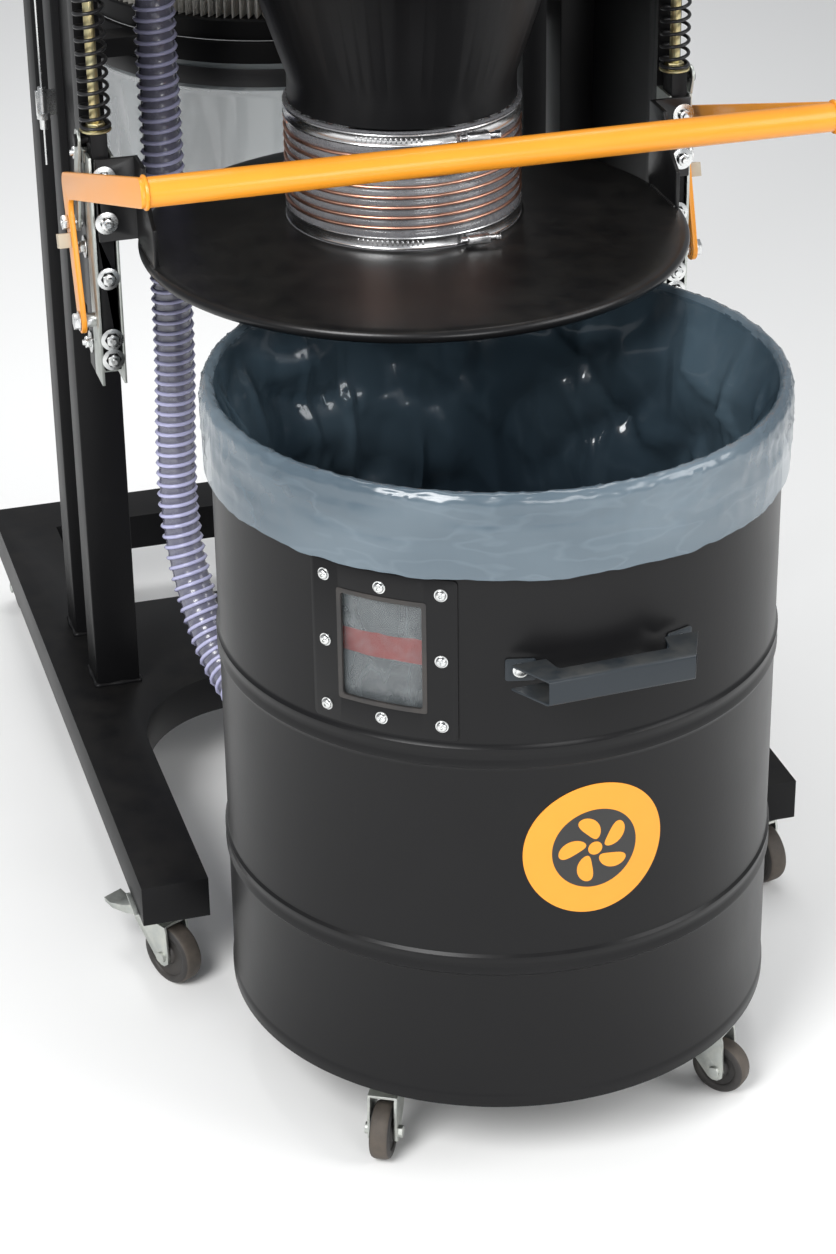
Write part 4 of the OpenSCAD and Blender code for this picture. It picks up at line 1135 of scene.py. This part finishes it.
# casters: worn wheels on their axles, pressed forks
def makeWheel(prefix, corner, radius, width):
    node = f"{prefix}_wheel_{corner}"
    joint = next(j for j in frame["joints"] if j["child"] == f"{prefix}_roller_{corner}")
    low, high = (Vector(c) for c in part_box(node))
    half, r = width / 2, radius
    flat = ruffle(radius, width, len(corner)) * 0.2
    tread = [(r - 7, -half), (r - 3.6, -half + 0.5), (r - 1.4, -half + 1.8), (r - 0.4, -half + 4.2), (r, -half + 7),
             (r + flat * 0.1, 0), (r, half - 7), (r - 0.4, half - 4.2), (r - 1.4, half - 1.8), (r - 3.6, half - 0.5),
             (r - 7, half)]
    side = [(r - 10, half - 0.6), (r - 11, half - 2.4), (13, half - 3.4), (12, half - 1.2), (9.5, half + 0.9),
            (5, half + 1), (4.1, half + 1)]
    profile = [(4.1, -half - 1)] + [(x, -z) for x, z in reversed(side[:-1])] + tread + side + [(4.1, -half - 1)]
    wheel = spun(node.replace("_", ""), profile, (0, 0), 56, closed=True)
    stand = Vector(joint["axis"]).to_track_quat("Z", "Y").to_matrix().to_4x4()
    finishPiece(wheel, joint["child"], blackRubber, [node], 50)
    wheel.data.materials.append(wornRubber)
    wheel.data.materials.append(zincCast)
    for face in wheel.data.polygons:
        gap = math.hypot(face.center.x, face.center.y) / mm
        if gap > r - 1.6:
            face.material_index = 1
        elif gap < 9:
            face.material_index = 2
    wheel.data.transform(Matrix.Translation((low + high) / 2) @ stand)


casterSize = {"base": (37.5, 25), "drum": (31.5, 22)}  # wheel radius and width in millimetres


def makeCasters():
    for prefix, (radius, width) in casterSize.items():
        for corner in ("fl", "fr", "rl", "rr"):
            makeWheel(prefix, corner, radius, width)
            fork = f"{prefix}_fork_{corner}"
            softenedPiece(fork, fork.replace("_", ""), 0.8, zincCast, 30)
    for node in ("base_caster_plates", "drum_caster_plates"):
        softenedPiece(node, node.replace("_", ""), 0.7, zincCast, 30)
    print("casters")


makeCasters()


# painted frame and the machine above it
softened = [  # node, edge width in mm, finish
    ("base_frame", 2.0, blackPaint), ("posts", 2.6, blackPaint), ("top_frame", 1.6, blackPaint),
    ("filter_bracket", 1.2, blackPaint), ("cyclone", 0.8, blackPaint), ("blower_housing", 1.2, blackPaint),
    ("transfer_duct", 1.2, blackPaint), ("filter_head", 1.2, blackPaint), ("motor_housing", 0.9, motorPaint),
    ("control_box", 2.2, boxPaint), ("vacuum_pipe", 0.6, blackPlastic), ("cable_adjuster", 0.4, boltPlate),
    ("bag_clamp", 0.5, blackPlastic), ("start_button", 1.2, greenPlastic), ("stop_button", 2.4, redPlastic),
    ("cleaning_crank", 1.4, blackPaint), ("impeller", 0.6, aluminium)]


def makeFrame():
    for node, width, look in softened:
        words = node.split("_")
        softenedPiece(node, words[0] + "".join(word.title() for word in words[1:]) + "Piece", width, look, 30)
    beads = []
    for x in (-1, 1):  # weld beads round the feet of the posts
        for y in (325, 470):
            for k in range(56):
                t = k / 56 * 4
                u, v = [(t, 0), (1, t - 1), (3 - t, 1), (0, 4 - t)][int(t)]
                spot = at(x * (279 + 55 * u), y + 55 * v, 148.2)
                beads.append(spot + Vector((0, 0, 0.0006 * ruffle(k * 0.9, x, y))))
    welds = []
    for corner in range(4):
        line = beads[corner * 56:(corner + 1) * 56]
        line = line + [line[0], line[1]]
        welds.append(tube("weld", line, lambda s: 0.0030 + 0.0009 * math.sin(s * 1400), 8))
    finishPiece(join("postWelds", welds), "frame", blackPaint, smooth=70)
    bolts = []
    for k in range(8):
        turn = math.radians(k * 45 + 22.5)
        bolts.append((228 * math.cos(turn), 40 + 228 * math.sin(turn), 1252, (0, 0, 1), 15, 7))
    for k in range(12):
        turn = math.radians(k * 30 + 15)
        bolts.append((272 * math.cos(turn), 40 + 272 * math.sin(turn), 1905 - 1, (0, 0, 1), 11, 5))
    boltSet("flangeBolts", bolts, "frame", boltPlate)
    print("frame and upper machine")


canisterSize = {"pleats": 150, "radius": 214.5, "depth": 20.5}


def makeCanister():
    # pleated cloth round the canister between two rims
    cx, cy = middle("filter_canister")
    low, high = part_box("filter_canister")
    count, points = canisterSize["pleats"], []
    levels = [low[2] + 0.026, low[2] + 0.04, (low[2] + high[2]) / 2, high[2] - 0.04, high[2] - 0.027]
    for z in levels:
        for j in range(count * 4):
            wave = (1.0, 0.55, 0.0, 0.55)[j % 4]
            r = (canisterSize["radius"] + canisterSize["depth"] * wave) * mm
            a = 2 * math.pi * j / (count * 4)
            points.append((cx + r * math.cos(a), cy + r * math.sin(a), z))
    cloth = meshFrom("filterPleats", points, gridFaces(len(levels), count * 4, True))
    mergeAndFaceOut(cloth, 0.000001)
    finishPiece(cloth, "frame", filterCloth, ["filter_canister"], 45)
    rims = []
    for z0, z1 in ((low[2], low[2] + 0.026), (high[2] - 0.028, high[2])):
        a, b = z0 / mm, z1 / mm
        rims.append(spun("rim", [(206, a), (238, a), (240, a + 2), (240, b - 2), (238, b), (206, b), (206, a)],
                         (cx, cy), 96, closed=True))
    for z in (low[2] + 0.26, low[2] + 0.52):
        a = z / mm
        rims.append(spun("hoop", [(235.2, a), (236.2, a - 0.3), (236.6, a + 1), (236.6, a + 17), (236.2, a + 18.3),
                                  (235.2, a + 18), (235.2, a)], (cx, cy), 96, closed=True))
    finishPiece(join("filterRims", rims), "frame", blackPaint)
    print("canister")


bagSize = {"columns": 220, "rows": 44, "ring": 246.3, "body": 237.5}


def makeCollectionBag():
    # clear bag that hangs from the ring, slack at its foot
    cx, cy = middle("collection_bag")
    low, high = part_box("collection_bag")
    n, points = bagSize["columns"], []
    heights = [high[2] - t * (high[2] - low[2] - 0.004) for t in np.linspace(0, 1, bagSize["rows"])]
    for row, z in enumerate(heights):
        t = row / (bagSize["rows"] - 1)
        for j in range(n):
            a = 2 * math.pi * j / n
            ca, sa = 4 * math.cos(a), 4 * math.sin(a)
            sag = 1 - max(0.0, (t - 0.66) / 0.34) ** 2.2 * 0.24
            slack = min(1.0, t * 3.5)
            fold = crease(ca * 1.1, sa * 1.1, z * 2.6) * 5 + 6 * abs(ruffle(ca * 0.6, sa * 0.6, z * 5))
            r = bagSize["ring"] - (8.8 * min(1.0, t * 5)) if t < 0.16 else bagSize["body"]
            r = (r - slack * fold) * sag
            if t < 0.15:
                r = 246.4 + 0.7 * crease(ca * 4, sa * 4, 1.0)
            points.append((cx + r * mm * math.cos(a), cy + r * mm * math.sin(a), z))
    for k in range(1, 8):
        for j in range(n):
            a = 2 * math.pi * j / n
            r = 180.5 * (1 - k / 7) + 0.01
            z = low[2] + 0.004 - 0.003 * math.sin(math.pi * k / 14) + 0.004 * abs(ruffle(r / 30, a * 2, 2.5))
            points.append((cx + r * mm * math.cos(a), cy + r * mm * math.sin(a), z))
    bag = meshFrom("collectionBag", points, gridFaces(bagSize["rows"] + 7, n, True))
    mergeAndFaceOut(bag, 0.00002)
    finishPiece(bag, "frame", bagFilm, ["collection_bag"], 60)
    print("collection bag")


makeFrame()
makeCanister()
makeCollectionBag()


# floor and lights
studio = {"sky": (0.94, 0.96, 1.0), "skyStrength": 0.38,
          "lights": [("keyLight", (-2600, -2600, 3300), (0, -200, 600), 2.2, 190),
                     ("fillLight", (2900, -2300, 2400), (0, -200, 600), 2.4, 70),
                     ("topLight", (300, 900, 4300), (0, 0, 700), 2.6, 90),
                     ("frontLight", (400, -4200, 1500), (0, -300, 600), 1.6, 40)]}


def makeStudio():
    clearSelection()
    bpy.ops.mesh.primitive_plane_add(size=40, location=(0, 0, 0))
    floor = settle("floor")
    look = Finish("pale floor", Base_Color=(0.90, 0.90, 0.89, 1))
    cloud = look.noise(0.8, 2, 0.5)
    look.feed(Roughness=cloud * 0.1 + 0.75)
    floor.data.materials.append(look.material)
    world = bpy.data.worlds.new("studio")
    world.use_nodes = True
    sky = world.node_tree.nodes["Background"]
    sky.inputs["Color"].default_value = (*studio["sky"], 1)
    sky.inputs["Strength"].default_value = studio["skyStrength"]
    bpy.context.scene.world = world
    bpy.context.scene.view_settings.view_transform = "Standard"
    for name, place, aim, size, power in studio["lights"]:
        data = bpy.data.lights.new(name, "AREA")
        data.shape, data.size, data.energy = "DISK", size, power
        lamp = bpy.data.objects.new(name, data)
        lamp.location = at(*place)
        lamp.rotation_euler = (at(*aim) - lamp.location).to_track_quat("-Z", "Y").to_euler()
        bpy.context.scene.collection.objects.link(lamp)


makeStudio()
print("scene ready")
